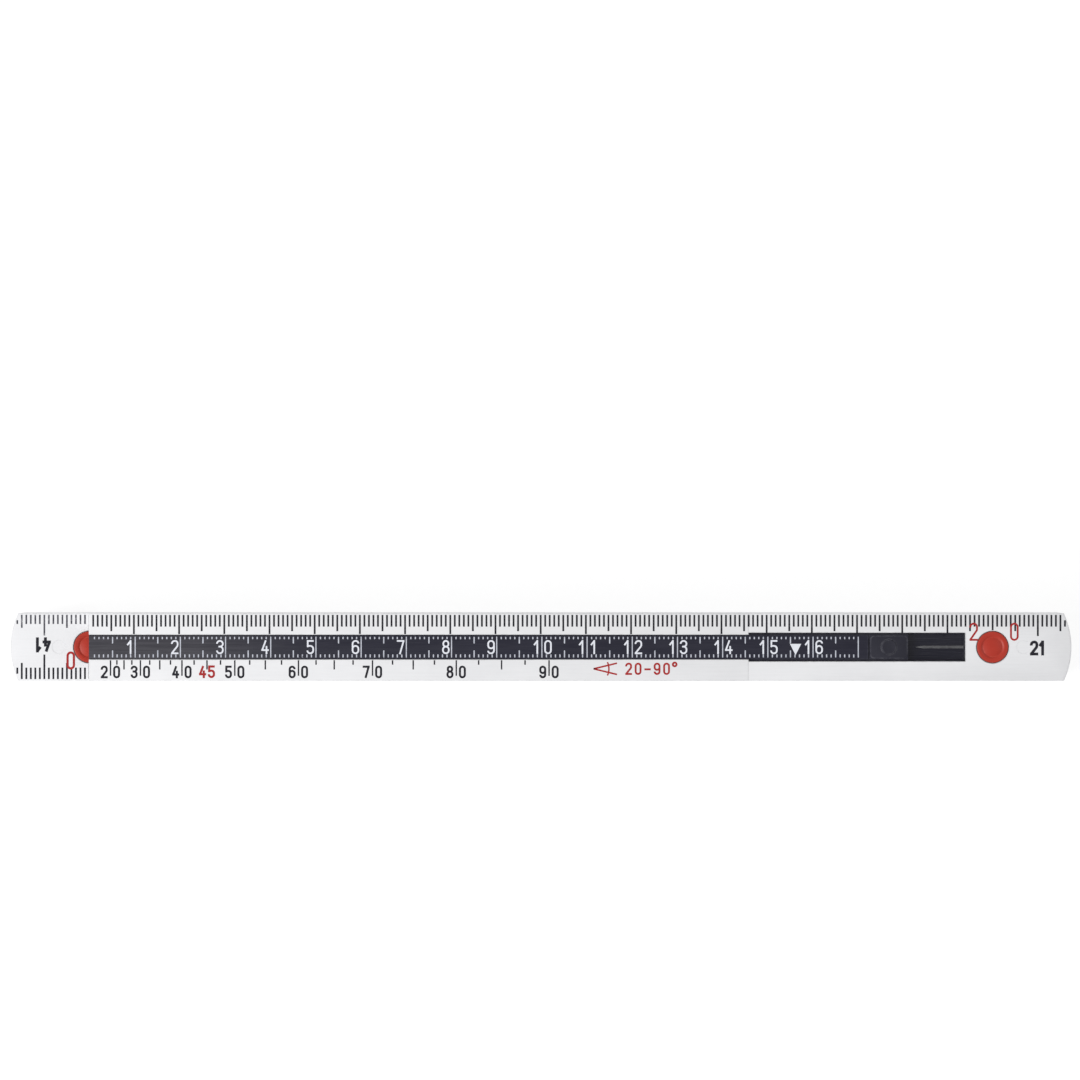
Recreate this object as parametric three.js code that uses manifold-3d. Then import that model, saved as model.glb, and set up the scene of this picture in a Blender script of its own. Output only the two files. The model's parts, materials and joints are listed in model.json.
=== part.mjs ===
// A folding rule: ten plastic leaves joined end to end by nine pivots, with a sliding depth gauge
// in the first leaf. It is modelled folded up and lying flat, in millimetres.
// +X runs along the folded rule, +Y across its width and +Z up through the stack.
// The origin is at the middle of the underside. Leaf 1 is on top and leaf 10 at the bottom.
// Odd pivots stand at the +X end and even pivots at the -X end, where the scale of leaf 1 begins.

import * as THREE from "three";
import { mergeVertices } from "three/addons/utils/BufferGeometryUtils.js";
import Module from "manifold-3d";

const wasm = await Module();
wasm.setup();

// Leaves
const LEAF_COUNT = 10;
const PIVOT_PITCH = 200; // between the two pivots of one leaf
const LEAF_WIDTH = 15;
const LEAF_THICKNESS = 3.15;
const LEAF_GAP = 0.17; // air between two folded leaves
const END_RADIUS = 17.5; // the round ends are struck from the pivots
const END_CHAMFER = 0.5; // on the outer face of the two outer leaves

// Pivots
const BOSS_RADIUS = 7.87; // at the foot of the boss on the lower leaf of a pair
const BOSS_HEIGHT = 0.68;
const BOSS_TAPER = 0.2; // how much smaller the boss is at its top
const BOSS_CLEARANCE = 0.2; // round the boss, in the recess of the upper leaf
const SHAFT_RADIUS = 2;
const HEAD_RADIUS = 3.475;
const HEAD_THICKNESS = 0.9;
const CAP_THICKNESS = 0.9;
const HEAD_SINK = 0.06; // head and cap lie this far below the face round them
const RUNNING_CLEARANCE = 0.15; // round shafts, heads and caps that turn
const PRESS_GAP = 0.05; // between the shaft and the cap pressed on it
const SPRING_INNER_RADIUS = 2.6;
const SPRING_OUTER_RADIUS = 4.6;
const SPRING_THICKNESS = 0.25;
const SPRING_WAVES = 3;
const SPRING_REST_GAP = 0.05; // above and below the spring
const POCKET_DEPTH = 1; // of the spring's pocket in the boss
const POCKET_CLEARANCE = 0.3; // round the spring

// Depth gauge and its channel in leaf 1
const CHANNEL_WIDTH = 6.4;
const CHANNEL_FLOOR = 1.15; // what is left of the leaf under the channel
const CHANNEL_TO_PIVOT = 6; // from the channel's end to pivot 1
const OPEN_LENGTH = 48; // the stretch of channel with no rails over it
const RAIL_THICKNESS = 0.6; // measured down from the leaf's face
const RAIL_RISE = 0.08; // the railed stretch stands this much proud of the face
const RAIL_OVERHANG = 0.45; // each rail over the channel
const GUIDE_THICKNESS = 0.35;
const GUIDE_CLEARANCE = 0.08;
const GUIDE_RIB_WIDTH = 0.6;
const GUIDE_RIB_HEIGHT = 0.35;
const GUIDE_RIB_LENGTH = 10.7;
const GUIDE_RIB_POINT = 1.6;
const GUIDE_RIB_TO_END = 0.3;
const SLIDE_CLEARANCE = 0.1; // between the gauge and what it slides in
const GAUGE_SINK = 0.12; // the gauge's face below the leaf's face
const GAUGE_TO_END = 12.7; // free channel behind the gauge at rest
const THUMB_LENGTH = 8.5; // the gripped stretch at the gauge's end
const THUMB_GROOVE_WIDTH = 0.35;
const THUMB_GROOVE_DEPTH = 0.3;
const THUMB_DISC_RADIUS = 1.75;
const THUMB_DISC_HEIGHT = 0.2;

// Steps round a full turn
const HINGE_STEPS = 24;
const END_STEPS = 72;

const PIVOT_X = PIVOT_PITCH / 2;
const LEAF_PITCH = LEAF_THICKNESS + LEAF_GAP;
const HALF_WIDTH = LEAF_WIDTH / 2;
const SEAT_RADIUS = HEAD_RADIUS + RUNNING_CLEARANCE;
const BORE_RADIUS = SHAFT_RADIUS + RUNNING_CLEARANCE;
const POCKET_RADIUS = SPRING_OUTER_RADIUS + POCKET_CLEARANCE;
const BREAK_OUT = 1; // cutting shapes run this far past the faces that they open

const leafBottom = (leaf) => (LEAF_COUNT - leaf) * LEAF_PITCH;
const leafTop = (leaf) => leafBottom(leaf) + LEAF_THICKNESS;
const pivotX = (pivot) => (pivot % 2 === 1 ? PIVOT_X : -PIVOT_X);
const twoDigits = (number) => String(number).padStart(2, "0");

// Materials
const paint = (color, roughness, metalness = 0) =>
  new THREE.MeshStandardMaterial({ color, roughness, metalness });
const LEAF_PLASTIC = { color: 0xe4e6ea, roughness: 0.45 };
const PIN_PLASTIC = { color: 0xc3402e, roughness: 0.5 };
const GAUGE_PLASTIC = { color: 0x26262f, roughness: 0.4 };
const GUIDE_PLASTIC = { color: 0x1e1e25, roughness: 0.25 };
const SPRING_STEEL = { color: 0xb9bcc0, roughness: 0.3, metalness: 1 };

// A closed geometry as a solid that can be joined and cut.
function solid(geometry) {
  geometry.deleteAttribute("normal");
  geometry.deleteAttribute("uv");
  const merged = mergeVertices(geometry, 1e-4);
  return new wasm.Manifold(
    new wasm.Mesh({
      numProp: 3,
      vertProperties: merged.attributes.position.array,
      triVerts: new Uint32Array(merged.index.array),
    }),
  );
}

function box(x, y, z) {
  const geometry = new THREE.BoxGeometry(x[1] - x[0], y[1] - y[0], z[1] - z[0]);
  geometry.translate((x[0] + x[1]) / 2, (y[0] + y[1]) / 2, (z[0] + z[1]) / 2);
  return solid(geometry);
}

// A round solid about a vertical axis at x, straight or tapered.
function round(x, z, lowRadius, highRadius = lowRadius, steps = HINGE_STEPS) {
  const geometry = new THREE.CylinderGeometry(highRadius, lowRadius, z[1] - z[0], steps);
  geometry.rotateX(Math.PI / 2);
  geometry.translate(x, 0, (z[0] + z[1]) / 2);
  return solid(geometry);
}

function toMesh(name, made, material) {
  const { vertProperties, triVerts } = made.getMesh();
  const geometry = new THREE.BufferGeometry();
  geometry.setAttribute("position", new THREE.BufferAttribute(vertProperties, 3));
  geometry.setIndex(new THREE.BufferAttribute(triVerts, 1));
  geometry.computeVertexNormals();
  const mesh = new THREE.Mesh(geometry, paint(material.color, material.roughness, material.metalness));
  mesh.name = name;
  return mesh;
}

// The round end of a leaf. side is +1 or -1 along X.
function roundEnd(leaf, side) {
  const x = side * PIVOT_X;
  const low = leafBottom(leaf);
  const high = leafTop(leaf);
  const lowChamfer = leaf === LEAF_COUNT ? END_CHAMFER : 0;
  const highChamfer = leaf === 1 ? END_CHAMFER : 0;
  const inner = END_RADIUS - END_CHAMFER;
  let made = round(x, [low + lowChamfer, high - highChamfer], END_RADIUS, END_RADIUS, END_STEPS);
  if (highChamfer) {
    made = made.add(round(x, [high - highChamfer, high], END_RADIUS, inner, END_STEPS));
  }
  if (lowChamfer) {
    made = made.add(round(x, [low, low + lowChamfer], inner, END_RADIUS, END_STEPS));
  }
  const reach = [Math.min(0, side * END_RADIUS) + x, Math.max(0, side * END_RADIUS) + x];
  return made.intersect(box(reach, [-HALF_WIDTH, HALF_WIDTH], [low, high]));
}

// The upper leaf of a pivot: a seat for the pin's head, a bore, and a recess over the boss.
function cutUpperSide(made, pivot) {
  const x = pivotX(pivot);
  const low = leafBottom(pivot);
  const high = leafTop(pivot);
  const mouth = BOSS_RADIUS + BOSS_CLEARANCE;
  const ceiling = low + BOSS_HEIGHT;
  const slope = BOSS_TAPER / BOSS_HEIGHT;
  return made
    .subtract(round(x, [high - HEAD_THICKNESS - HEAD_SINK, high + BREAK_OUT], SEAT_RADIUS))
    .subtract(round(x, [low - BREAK_OUT, high + BREAK_OUT], BORE_RADIUS))
    .subtract(round(x, [low - BREAK_OUT, ceiling], mouth + slope * BREAK_OUT, mouth - BOSS_TAPER));
}

// The lower leaf of a pivot: a boss with the spring's pocket, a bore, and a seat for the cap.
function shapeLowerSide(made, pivot) {
  const x = pivotX(pivot);
  const leaf = pivot + 1;
  const low = leafBottom(leaf);
  const high = leafTop(leaf);
  const bossTop = high + BOSS_HEIGHT;
  const middle = (low + high) / 2;
  const slope = BOSS_TAPER / BOSS_HEIGHT;
  const foot = BOSS_RADIUS + slope * (high - middle);
  const boss = round(x, [middle, bossTop], foot, BOSS_RADIUS - BOSS_TAPER).intersect(
    box([x - 2 * BOSS_RADIUS, x + 2 * BOSS_RADIUS], [-HALF_WIDTH, HALF_WIDTH], [high - BREAK_OUT, bossTop]),
  );
  return made
    .add(boss)
    .subtract(round(x, [bossTop - POCKET_DEPTH, bossTop + BREAK_OUT], POCKET_RADIUS))
    .subtract(round(x, [low - BREAK_OUT, bossTop + BREAK_OUT], BORE_RADIUS))
    .subtract(round(x, [low - BREAK_OUT, low + CAP_THICKNESS + HEAD_SINK], SEAT_RADIUS));
}

// Where the depth gauge's channel lies.
const gaugeFace = leafTop(1) - GAUGE_SINK;
const channelFloor = leafBottom(1) + CHANNEL_FLOOR;
const channelStart = -PIVOT_X;
const channelEnd = PIVOT_X - CHANNEL_TO_PIVOT;
const railEnd = channelEnd - OPEN_LENGTH;
const railSlot = CHANNEL_WIDTH / 2 - RAIL_OVERHANG;
const railUnderside = leafTop(1) - RAIL_THICKNESS;

function cutChannel(made) {
  const half = CHANNEL_WIDTH / 2;
  const above = leafTop(1) + RAIL_RISE + BREAK_OUT;
  const start = channelStart - BREAK_OUT;
  return made
    .subtract(box([start, channelEnd], [-half, half], [channelFloor, railUnderside]))
    .subtract(box([start, channelEnd], [-railSlot, railSlot], [channelFloor, above]))
    .subtract(box([railEnd, channelEnd], [-half, half], [channelFloor, above]));
}

function makeLeaf(leaf) {
  const outer = leaf === 1 || leaf === LEAF_COUNT;
  let made = box([-PIVOT_X, PIVOT_X], [-HALF_WIDTH, HALF_WIDTH], [leafBottom(leaf), leafTop(leaf)]);
  made = made.add(roundEnd(leaf, 1));
  if (!outer) {
    made = made.add(roundEnd(leaf, -1));
  }
  if (leaf > 1) {
    made = shapeLowerSide(made, leaf - 1);
  }
  if (leaf < LEAF_COUNT) {
    made = cutUpperSide(made, leaf);
  }
  if (leaf === 1) {
    const rails = [leafBottom(leaf), leafTop(leaf) + RAIL_RISE];
    made = cutChannel(made.add(box([channelStart, railEnd], [-HALF_WIDTH, HALF_WIDTH], rails)));
  }
  return toMesh(`leaf_${twoDigits(leaf)}`, made, LEAF_PLASTIC);
}

// The pin drops in from above. Its head fills the seat and its shaft reaches down to the cap.
function makePin(pivot) {
  const x = pivotX(pivot);
  const headTop = leafTop(pivot) - HEAD_SINK;
  const shaftEnd = leafBottom(pivot + 1) + HEAD_SINK;
  const head = round(x, [headTop - HEAD_THICKNESS, headTop], HEAD_RADIUS);
  const shaft = round(x, [shaftEnd, headTop - HEAD_THICKNESS / 2], SHAFT_RADIUS);
  return toMesh(`pivot_pin_${pivot}`, head.add(shaft), PIN_PLASTIC);
}

// The cap is pressed on the shaft from below, in the seat of the lower leaf.
function makeCap(pivot) {
  const x = pivotX(pivot);
  const low = leafBottom(pivot + 1) + HEAD_SINK;
  const bore = round(x, [low - BREAK_OUT, low + CAP_THICKNESS + BREAK_OUT], SHAFT_RADIUS + PRESS_GAP);
  const cap = round(x, [low, low + CAP_THICKNESS], HEAD_RADIUS).subtract(bore);
  return toMesh(`retaining_cap_${pivot}`, cap, PIN_PLASTIC);
}

// A wave washer in the boss's pocket, which presses on the upper leaf and gives the click.
function makeSpring(pivot) {
  const floor = leafTop(pivot + 1) + BOSS_HEIGHT - POCKET_DEPTH;
  const room = POCKET_DEPTH + LEAF_GAP;
  const wave = (room - SPRING_THICKNESS) / 2 - SPRING_REST_GAP;
  const outline = new THREE.Shape().absarc(0, 0, SPRING_OUTER_RADIUS, 0, 2 * Math.PI);
  outline.holes.push(new THREE.Path().absarc(0, 0, SPRING_INNER_RADIUS, 0, 2 * Math.PI));
  const geometry = new THREE.ExtrudeGeometry(outline, {
    depth: SPRING_THICKNESS,
    bevelEnabled: false,
    curveSegments: HINGE_STEPS / 2, // half a turn
  });
  const position = geometry.attributes.position;
  for (let i = 0; i < position.count; i += 1) {
    const turn = Math.atan2(position.getY(i), position.getX(i));
    position.setZ(i, position.getZ(i) + wave * (1 + Math.sin(SPRING_WAVES * turn)));
  }
  geometry.translate(pivotX(pivot), 0, floor + SPRING_REST_GAP);
  return toMesh(`click_spring_${pivot}`, solid(geometry), SPRING_STEEL);
}

// The black bed of the channel, with a pointed rib in the free stretch behind the gauge.
function makeGuide() {
  const half = CHANNEL_WIDTH / 2 - GUIDE_CLEARANCE;
  const top = channelFloor + GUIDE_THICKNESS;
  const end = channelEnd - GUIDE_CLEARANCE;
  const ribEnd = end - GUIDE_RIB_TO_END;
  const ribStart = ribEnd - GUIDE_RIB_LENGTH;
  const outline = new THREE.Shape()
    .moveTo(ribStart, 0)
    .lineTo(ribStart + GUIDE_RIB_POINT, -GUIDE_RIB_WIDTH / 2)
    .lineTo(ribEnd, -GUIDE_RIB_WIDTH / 2)
    .lineTo(ribEnd, GUIDE_RIB_WIDTH / 2)
    .lineTo(ribStart + GUIDE_RIB_POINT, GUIDE_RIB_WIDTH / 2);
  const rib = new THREE.ExtrudeGeometry(outline, {
    depth: GUIDE_THICKNESS / 2 + GUIDE_RIB_HEIGHT,
    bevelEnabled: false,
  });
  rib.translate(0, 0, top - GUIDE_THICKNESS / 2);
  const bed = box([channelStart, end], [-half, half], [channelFloor, top]);
  return toMesh("gauge_guide", bed.add(solid(rib)), GUIDE_PLASTIC);
}

// A T-shaped slide: the flange runs under the rails and the stem shows between them.
function makeGauge() {
  const low = channelFloor + GUIDE_THICKNESS + SLIDE_CLEARANCE;
  const shoulder = railUnderside - SLIDE_CLEARANCE;
  const flange = CHANNEL_WIDTH / 2 - SLIDE_CLEARANCE;
  const stem = railSlot - SLIDE_CLEARANCE;
  const end = channelEnd - GAUGE_TO_END;
  const thumbStart = end - THUMB_LENGTH;
  const discX = end - THUMB_LENGTH / 2;
  const groove = [thumbStart - THUMB_GROOVE_WIDTH, thumbStart];
  const made = box([channelStart, end], [-flange, flange], [low, shoulder])
    .add(box([channelStart, end], [-stem, stem], [low, gaugeFace]))
    .subtract(box(groove, [-HALF_WIDTH, HALF_WIDTH], [gaugeFace - THUMB_GROOVE_DEPTH, gaugeFace + BREAK_OUT]))
    .add(round(discX, [low, gaugeFace + THUMB_DISC_HEIGHT], THUMB_DISC_RADIUS));
  return toMesh("depth_gauge", made, GAUGE_PLASTIC);
}

const group = new THREE.Group();
for (let leaf = 1; leaf <= LEAF_COUNT; leaf += 1) {
  group.add(makeLeaf(leaf));
}
for (let pivot = 1; pivot < LEAF_COUNT; pivot += 1) {
  group.add(makePin(pivot), makeCap(pivot), makeSpring(pivot));
}
group.add(makeGuide(), makeGauge());

export default group;
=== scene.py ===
# %% [markdown]
# # A folding rule, made leaf by leaf
# The rule is two metres long when it is opened: ten white plastic leaves on nine pivots, with a black
# depth gauge that slides in the first leaf. The sizes and the joints come from the frame that is loaded
# here. The script makes a finer piece for each part of that frame and leaves the frame where it is.

# %% Load the frame
import json
import math

import bmesh
import bpy
from mathutils import Matrix, Vector


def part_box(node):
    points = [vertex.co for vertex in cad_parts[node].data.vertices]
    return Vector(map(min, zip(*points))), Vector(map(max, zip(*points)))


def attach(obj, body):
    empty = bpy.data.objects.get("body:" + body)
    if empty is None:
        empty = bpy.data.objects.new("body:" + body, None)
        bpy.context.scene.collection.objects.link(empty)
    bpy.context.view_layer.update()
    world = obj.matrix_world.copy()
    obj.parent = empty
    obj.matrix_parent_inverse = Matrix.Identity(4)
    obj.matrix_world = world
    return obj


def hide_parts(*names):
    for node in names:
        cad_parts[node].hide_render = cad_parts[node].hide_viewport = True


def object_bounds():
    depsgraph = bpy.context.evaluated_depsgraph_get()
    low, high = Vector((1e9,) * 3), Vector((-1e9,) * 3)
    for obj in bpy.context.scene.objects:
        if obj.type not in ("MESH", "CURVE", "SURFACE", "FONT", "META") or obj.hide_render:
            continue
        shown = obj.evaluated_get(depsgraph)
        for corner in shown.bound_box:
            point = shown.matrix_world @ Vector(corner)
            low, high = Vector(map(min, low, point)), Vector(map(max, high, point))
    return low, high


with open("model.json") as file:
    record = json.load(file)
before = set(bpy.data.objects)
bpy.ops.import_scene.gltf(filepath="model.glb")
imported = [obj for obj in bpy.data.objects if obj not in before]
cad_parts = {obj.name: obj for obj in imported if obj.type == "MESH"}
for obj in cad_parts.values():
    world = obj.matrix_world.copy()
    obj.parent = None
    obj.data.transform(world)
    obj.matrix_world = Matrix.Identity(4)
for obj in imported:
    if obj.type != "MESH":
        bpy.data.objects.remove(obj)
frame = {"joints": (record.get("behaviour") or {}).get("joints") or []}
cad_low, cad_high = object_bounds()

# %% [markdown]
# ## The view
# The folded rule is looked at from straight above, so that the camera sees the scale, the gauge and the
# red pivots square on. A long lens from two metres away keeps the long rule free of distortion, where a
# short lens would show the sides of the leaves at both ends.

# %% Camera
MM = 0.001
FRAMED_WIDTH = 238.95 * MM
camera_lens = bpy.data.cameras.new("Camera over the rule")
camera_lens.lens = 300
camera_lens.sensor_width = 36
camera_lens.clip_start = 0.05
camera_lens.clip_end = 500
camera = bpy.data.objects.new("Camera over the rule", camera_lens)
bpy.context.scene.collection.objects.link(camera)
camera_height = FRAMED_WIDTH * camera_lens.lens / camera_lens.sensor_width
camera.location = (-0.15 * MM, 23.7 * MM, cad_high.z + camera_height)
bpy.context.scene.camera = camera
bpy.context.scene.view_settings.view_transform = "Standard"
print("camera:", round(camera_height, 3), "m above the rule")

# %% [markdown]
# ## Nodes with few words
# Materials are made of nodes and links. Two small helpers add a node with its settings and join sockets,
# so that each material below reads as a list of what it is made of. A third makes a node group with named
# inputs and outputs, which is how one effect, such as wear, is shared by several materials.


# %% Helpers for nodes
def add_node(tree, kind, inputs=None, **settings):
    node = tree.nodes.new(kind)
    for name, value in settings.items():
        setattr(node, name, value)
    for name, value in (inputs or {}).items():
        node.inputs[name].default_value = value
    return node


def join(tree, source, target):
    tree.links.new(source, target)


def new_effect(name, inputs, outputs):
    effect = bpy.data.node_groups.new(name, "ShaderNodeTree")
    for label, value in inputs.items():
        socket = effect.interface.new_socket(label, in_out="INPUT", socket_type="NodeSocketFloat")
        socket.default_value = value
    for label in outputs:
        effect.interface.new_socket(label, in_out="OUTPUT", socket_type="NodeSocketFloat")
    return effect, effect.nodes.new("NodeGroupInput"), effect.nodes.new("NodeGroupOutput")


def calculate(tree, operation, first, second, clamp=False):
    node = add_node(tree, "ShaderNodeMath", operation=operation, use_clamp=clamp)
    for socket, value in zip(node.inputs, (first, second)):
        if isinstance(value, (int, float)):
            socket.default_value = value
        else:
            join(tree, value, socket)
    return node.outputs[0]


def between(tree, value, low, high):
    node = add_node(tree, "ShaderNodeMapRange", {"From Min": low, "From Max": high}, clamp=True)
    join(tree, value, node.inputs["Value"])
    return node.outputs["Result"]


print("node helpers are ready")

# %% [markdown]
# ## Moulded grain
# The leaves are moulded from plastic filled with glass fibre. The mould leaves a fine grain, and the
# filling shows as cloudy, slightly lighter and darker spots. The grain could be real dents in the mesh,
# but at a tenth of a millimetre that would take millions of faces, so it is a height for a Bump node.
# Noise at three sizes keeps it from looking like one even pattern.


# %% Effect: moulded grain
def noise_at(tree, place, scale_value, factor, detail):
    noise = add_node(tree, "ShaderNodeTexNoise", {"Detail": detail, "Roughness": 0.6})
    join(tree, place, noise.inputs["Vector"])
    join(tree, calculate(tree, "MULTIPLY", scale_value, factor), noise.inputs["Scale"])
    return noise.outputs["Fac"]


grain, grain_in, grain_out = new_effect("Moulded grain", {"Size": 1000.0}, ["Height", "Clouds", "Specks"])
grain_place = add_node(grain, "ShaderNodeTexCoord").outputs["Object"]
fine = noise_at(grain, grain_place, grain_in.outputs["Size"], 5.0, 4.0)
middle = noise_at(grain, grain_place, grain_in.outputs["Size"], 0.9, 3.0)
clouds = noise_at(grain, grain_place, grain_in.outputs["Size"], 0.09, 4.0)
fine_share = calculate(grain, "MULTIPLY", fine, 0.55)
middle_share = calculate(grain, "MULTIPLY", middle, 0.45)
join(grain, calculate(grain, "ADD", fine_share, middle_share), grain_out.inputs["Height"])
join(grain, between(grain, clouds, 0.3, 0.7), grain_out.inputs["Clouds"])
join(grain, between(grain, fine, 0.62, 0.72), grain_out.inputs["Specks"])
print("effect:", grain.name)

# %% [markdown]
# ## Rubbed edges and painted rim shade
# A rule lives in a trouser pocket, so its edges are rubbed. Black plastic goes pale there. On white plastic
# the grey along the edges is painted shade, the dark outline of the rims, with some dirt. A Bevel node gives
# the normal that a rounded edge would have. Where that differs from the real normal there is an edge.
# Multiplied by noise, the mask breaks up, as wear does. Painting the mask by hand would work too, but not on
# a hundred pieces.

# %% Effect: rubbed edges and painted rim shade
rub_and_rim_shade, rub_and_rim_shade_in, rub_and_rim_shade_out = new_effect("Rubbed edges and painted rim shade", {"Reach": 0.0004, "Patch size": 900.0}, ["Mask"])
rounded = add_node(rub_and_rim_shade, "ShaderNodeBevel", samples=4)
join(rub_and_rim_shade, rub_and_rim_shade_in.outputs["Reach"], rounded.inputs["Radius"])
likeness = add_node(rub_and_rim_shade, "ShaderNodeVectorMath", operation="DOT_PRODUCT")
join(rub_and_rim_shade, rounded.outputs["Normal"], likeness.inputs[0])
join(rub_and_rim_shade, add_node(rub_and_rim_shade, "ShaderNodeNewGeometry").outputs["Normal"], likeness.inputs[1])
edge_mask = between(rub_and_rim_shade, calculate(rub_and_rim_shade, "SUBTRACT", 1.0, likeness.outputs["Value"]), 0.01, 0.16)
rub_and_rim_shade_place = add_node(rub_and_rim_shade, "ShaderNodeTexCoord").outputs["Object"]
rub_and_rim_shade_patches = between(rub_and_rim_shade, noise_at(rub_and_rim_shade, rub_and_rim_shade_place, rub_and_rim_shade_in.outputs["Patch size"], 1.0, 5.0), 0.35, 0.65)
join(rub_and_rim_shade, calculate(rub_and_rim_shade, "MULTIPLY", edge_mask, rub_and_rim_shade_patches), rub_and_rim_shade_out.inputs["Mask"])
print("effect:", rub_and_rim_shade.name)

# %% [markdown]
# ## Painted shade and dust in the corners
# Fine grey dust collects where a cloth does not reach, and the same corners lie in shade: in the seams
# between leaves, round the red heads and along the channel. An Ambient Occlusion node finds such corners
# by itself, on every piece and at every fold of the rule. The grey laid there is painted shade on the
# white leaves and dust on the black plastics. Noise makes it uneven.

# %% Effect: painted shade and dust in the corners
dust_and_shade, dust_and_shade_in, dust_and_shade_out = new_effect("Corner dust and painted shade", {"Reach": 0.0008, "Patch size": 700.0}, ["Mask"])
corners = add_node(dust_and_shade, "ShaderNodeAmbientOcclusion", samples=4)
join(dust_and_shade, dust_and_shade_in.outputs["Reach"], corners.inputs["Distance"])
corner_mask = between(dust_and_shade, calculate(dust_and_shade, "SUBTRACT", 1.0, corners.outputs["AO"]), 0.25, 0.95)
dust_and_shade_place = add_node(dust_and_shade, "ShaderNodeTexCoord").outputs["Object"]
dust_and_shade_patches = between(dust_and_shade, noise_at(dust_and_shade, dust_and_shade_place, dust_and_shade_in.outputs["Patch size"], 1.0, 6.0), 0.2, 0.8)
join(dust_and_shade, calculate(dust_and_shade, "MULTIPLY", corner_mask, dust_and_shade_patches), dust_and_shade_out.inputs["Mask"])
print("effect:", dust_and_shade.name)

# %% [markdown]
# ## Lines from sliding
# Everything about a rule moves lengthwise: the gauge in its channel, and the whole rule in and out of a
# pocket. That draws fine parallel lines. A noise that is stretched along X makes them, and each leaf keeps
# its own lines when it is turned, because the noise is laid in the piece's own coordinates.

# %% Effect: lines from sliding
lines, lines_in, lines_out = new_effect("Lines from sliding", {"Size": 3000.0}, ["Lines"])
lines_place = add_node(lines, "ShaderNodeMapping")
lines_place.inputs["Scale"].default_value = (0.04, 1.0, 1.0)
join(lines, add_node(lines, "ShaderNodeTexCoord").outputs["Object"], lines_place.inputs["Vector"])
drawn_lines = noise_at(lines, lines_place.outputs["Vector"], lines_in.outputs["Size"], 1.0, 4.0)
join(lines, between(lines, drawn_lines, 0.38, 0.7), lines_out.inputs["Lines"])
print("effect:", lines.name)

# %% [markdown]
# ## A recipe for moulded plastic
# White leaves, red pins and black gauge are all moulded plastic, with other colours, gloss and wear. One
# function mixes them: the base colour is clouded, changed along the edges, where black is rubbed pale and
# white gets painted shade with some dirt, and greyed in the corners, with painted shade on white and dust on
# black. The clouds also change the roughness, because a slightly uneven gloss is what tells plastic from
# paint. The Principled shader stays in each material and keeps its even values on its own sockets.


# %% Plastic recipe
# This grey paints shade into the corners of white plastic and stands for dust on black plastic.
DUST_AND_SHADE_GREY = (0.34, 0.33, 0.32)
# How strongly the edge colour is laid on: rubbed wear on black, painted rim shade on white.
RUB_AND_RIM_SHADE_SHARE = 0.85


def place_effect(tree, effect, **inputs):
    node = add_node(tree, "ShaderNodeGroup", node_tree=effect)
    for name, value in inputs.items():
        node.inputs[name.replace("_", " ")].default_value = value
    return node


def tint(tree, below, above, share):
    node = add_node(tree, "ShaderNodeMix", data_type="RGBA", blend_type="MIX")
    join(tree, share, node.inputs["Factor"])
    for socket, colour in ((node.inputs[6], below), (node.inputs[7], above)):
        if isinstance(colour, tuple):
            socket.default_value = (*colour, 1.0)
        else:
            join(tree, colour, socket)
    return node.outputs[2]


def new_material(name, roughness, metallic=0.0):
    material = bpy.data.materials.new(name)
    material.use_nodes = True
    shader = material.node_tree.nodes["Principled BSDF"]
    shader.inputs["Roughness"].default_value = roughness
    shader.inputs["Metallic"].default_value = metallic
    return material, material.node_tree, shader


def plastic(name, colour, cloud_colour, rub_and_rim_shade_colour, shares, gloss, grain_size, grain_depth, grain_strength):
    """The shares say how much corner grey there is, painted shade on white and dust on black, and how many
    sliding lines.
    """
    dust_and_shade_share, line_share = shares
    material, tree, shader = new_material(name, sum(gloss) / 2)
    shader.inputs["Specular IOR Level"].default_value = 0.3
    surface = place_effect(tree, grain, Size=grain_size)
    edges = place_effect(tree, rub_and_rim_shade, Reach=0.00045, Patch_size=900.0)
    dust_and_shade_node = place_effect(tree, dust_and_shade, Reach=0.0009, Patch_size=700.0)
    drawn = place_effect(tree, lines, Size=3000.0)
    paint = tint(tree, colour, cloud_colour, surface.outputs["Clouds"])
    line_mask = calculate(tree, "MULTIPLY", drawn.outputs["Lines"], line_share)
    paint = tint(tree, paint, rub_and_rim_shade_colour, line_mask)
    paint = tint(tree, paint, rub_and_rim_shade_colour, calculate(tree, "MULTIPLY", edges.outputs["Mask"], RUB_AND_RIM_SHADE_SHARE))
    # Corner grey: painted shade in the seams of the white leaves, dust on the black plastics.
    dust_and_shade_mask = calculate(tree, "MULTIPLY", dust_and_shade_node.outputs["Mask"], dust_and_shade_share)
    paint = tint(tree, paint, DUST_AND_SHADE_GREY, dust_and_shade_mask)
    join(tree, paint, shader.inputs["Base Color"])
    shine = add_node(tree, "ShaderNodeMapRange", {"To Min": gloss[0], "To Max": gloss[1]})
    join(tree, surface.outputs["Clouds"], shine.inputs["Value"])
    dull_spots = calculate(tree, "ADD", calculate(tree, "MULTIPLY", dust_and_shade_mask, 0.3), line_mask)
    dulled = calculate(tree, "ADD", shine.outputs["Result"], dull_spots, clamp=True)
    join(tree, dulled, shader.inputs["Roughness"])
    bump = add_node(tree, "ShaderNodeBump", {"Strength": grain_strength, "Distance": grain_depth})
    join(tree, surface.outputs["Height"], bump.inputs["Height"])
    join(tree, bump.outputs["Normal"], shader.inputs["Normal"])
    return material, tree, shader, surface


print("plastic recipe is ready")

# %% [markdown]
# ## The white of the leaves
# The leaves are a cool, slightly blue white, and not pure white: a pure white surface loses its shading.
# Short glass fibres show as tiny darker specks, so the speck mask of the grain darkens the colour a
# little.

# %% White plastic
LEAF_WHITE = (0.80, 0.801, 0.816)
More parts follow.
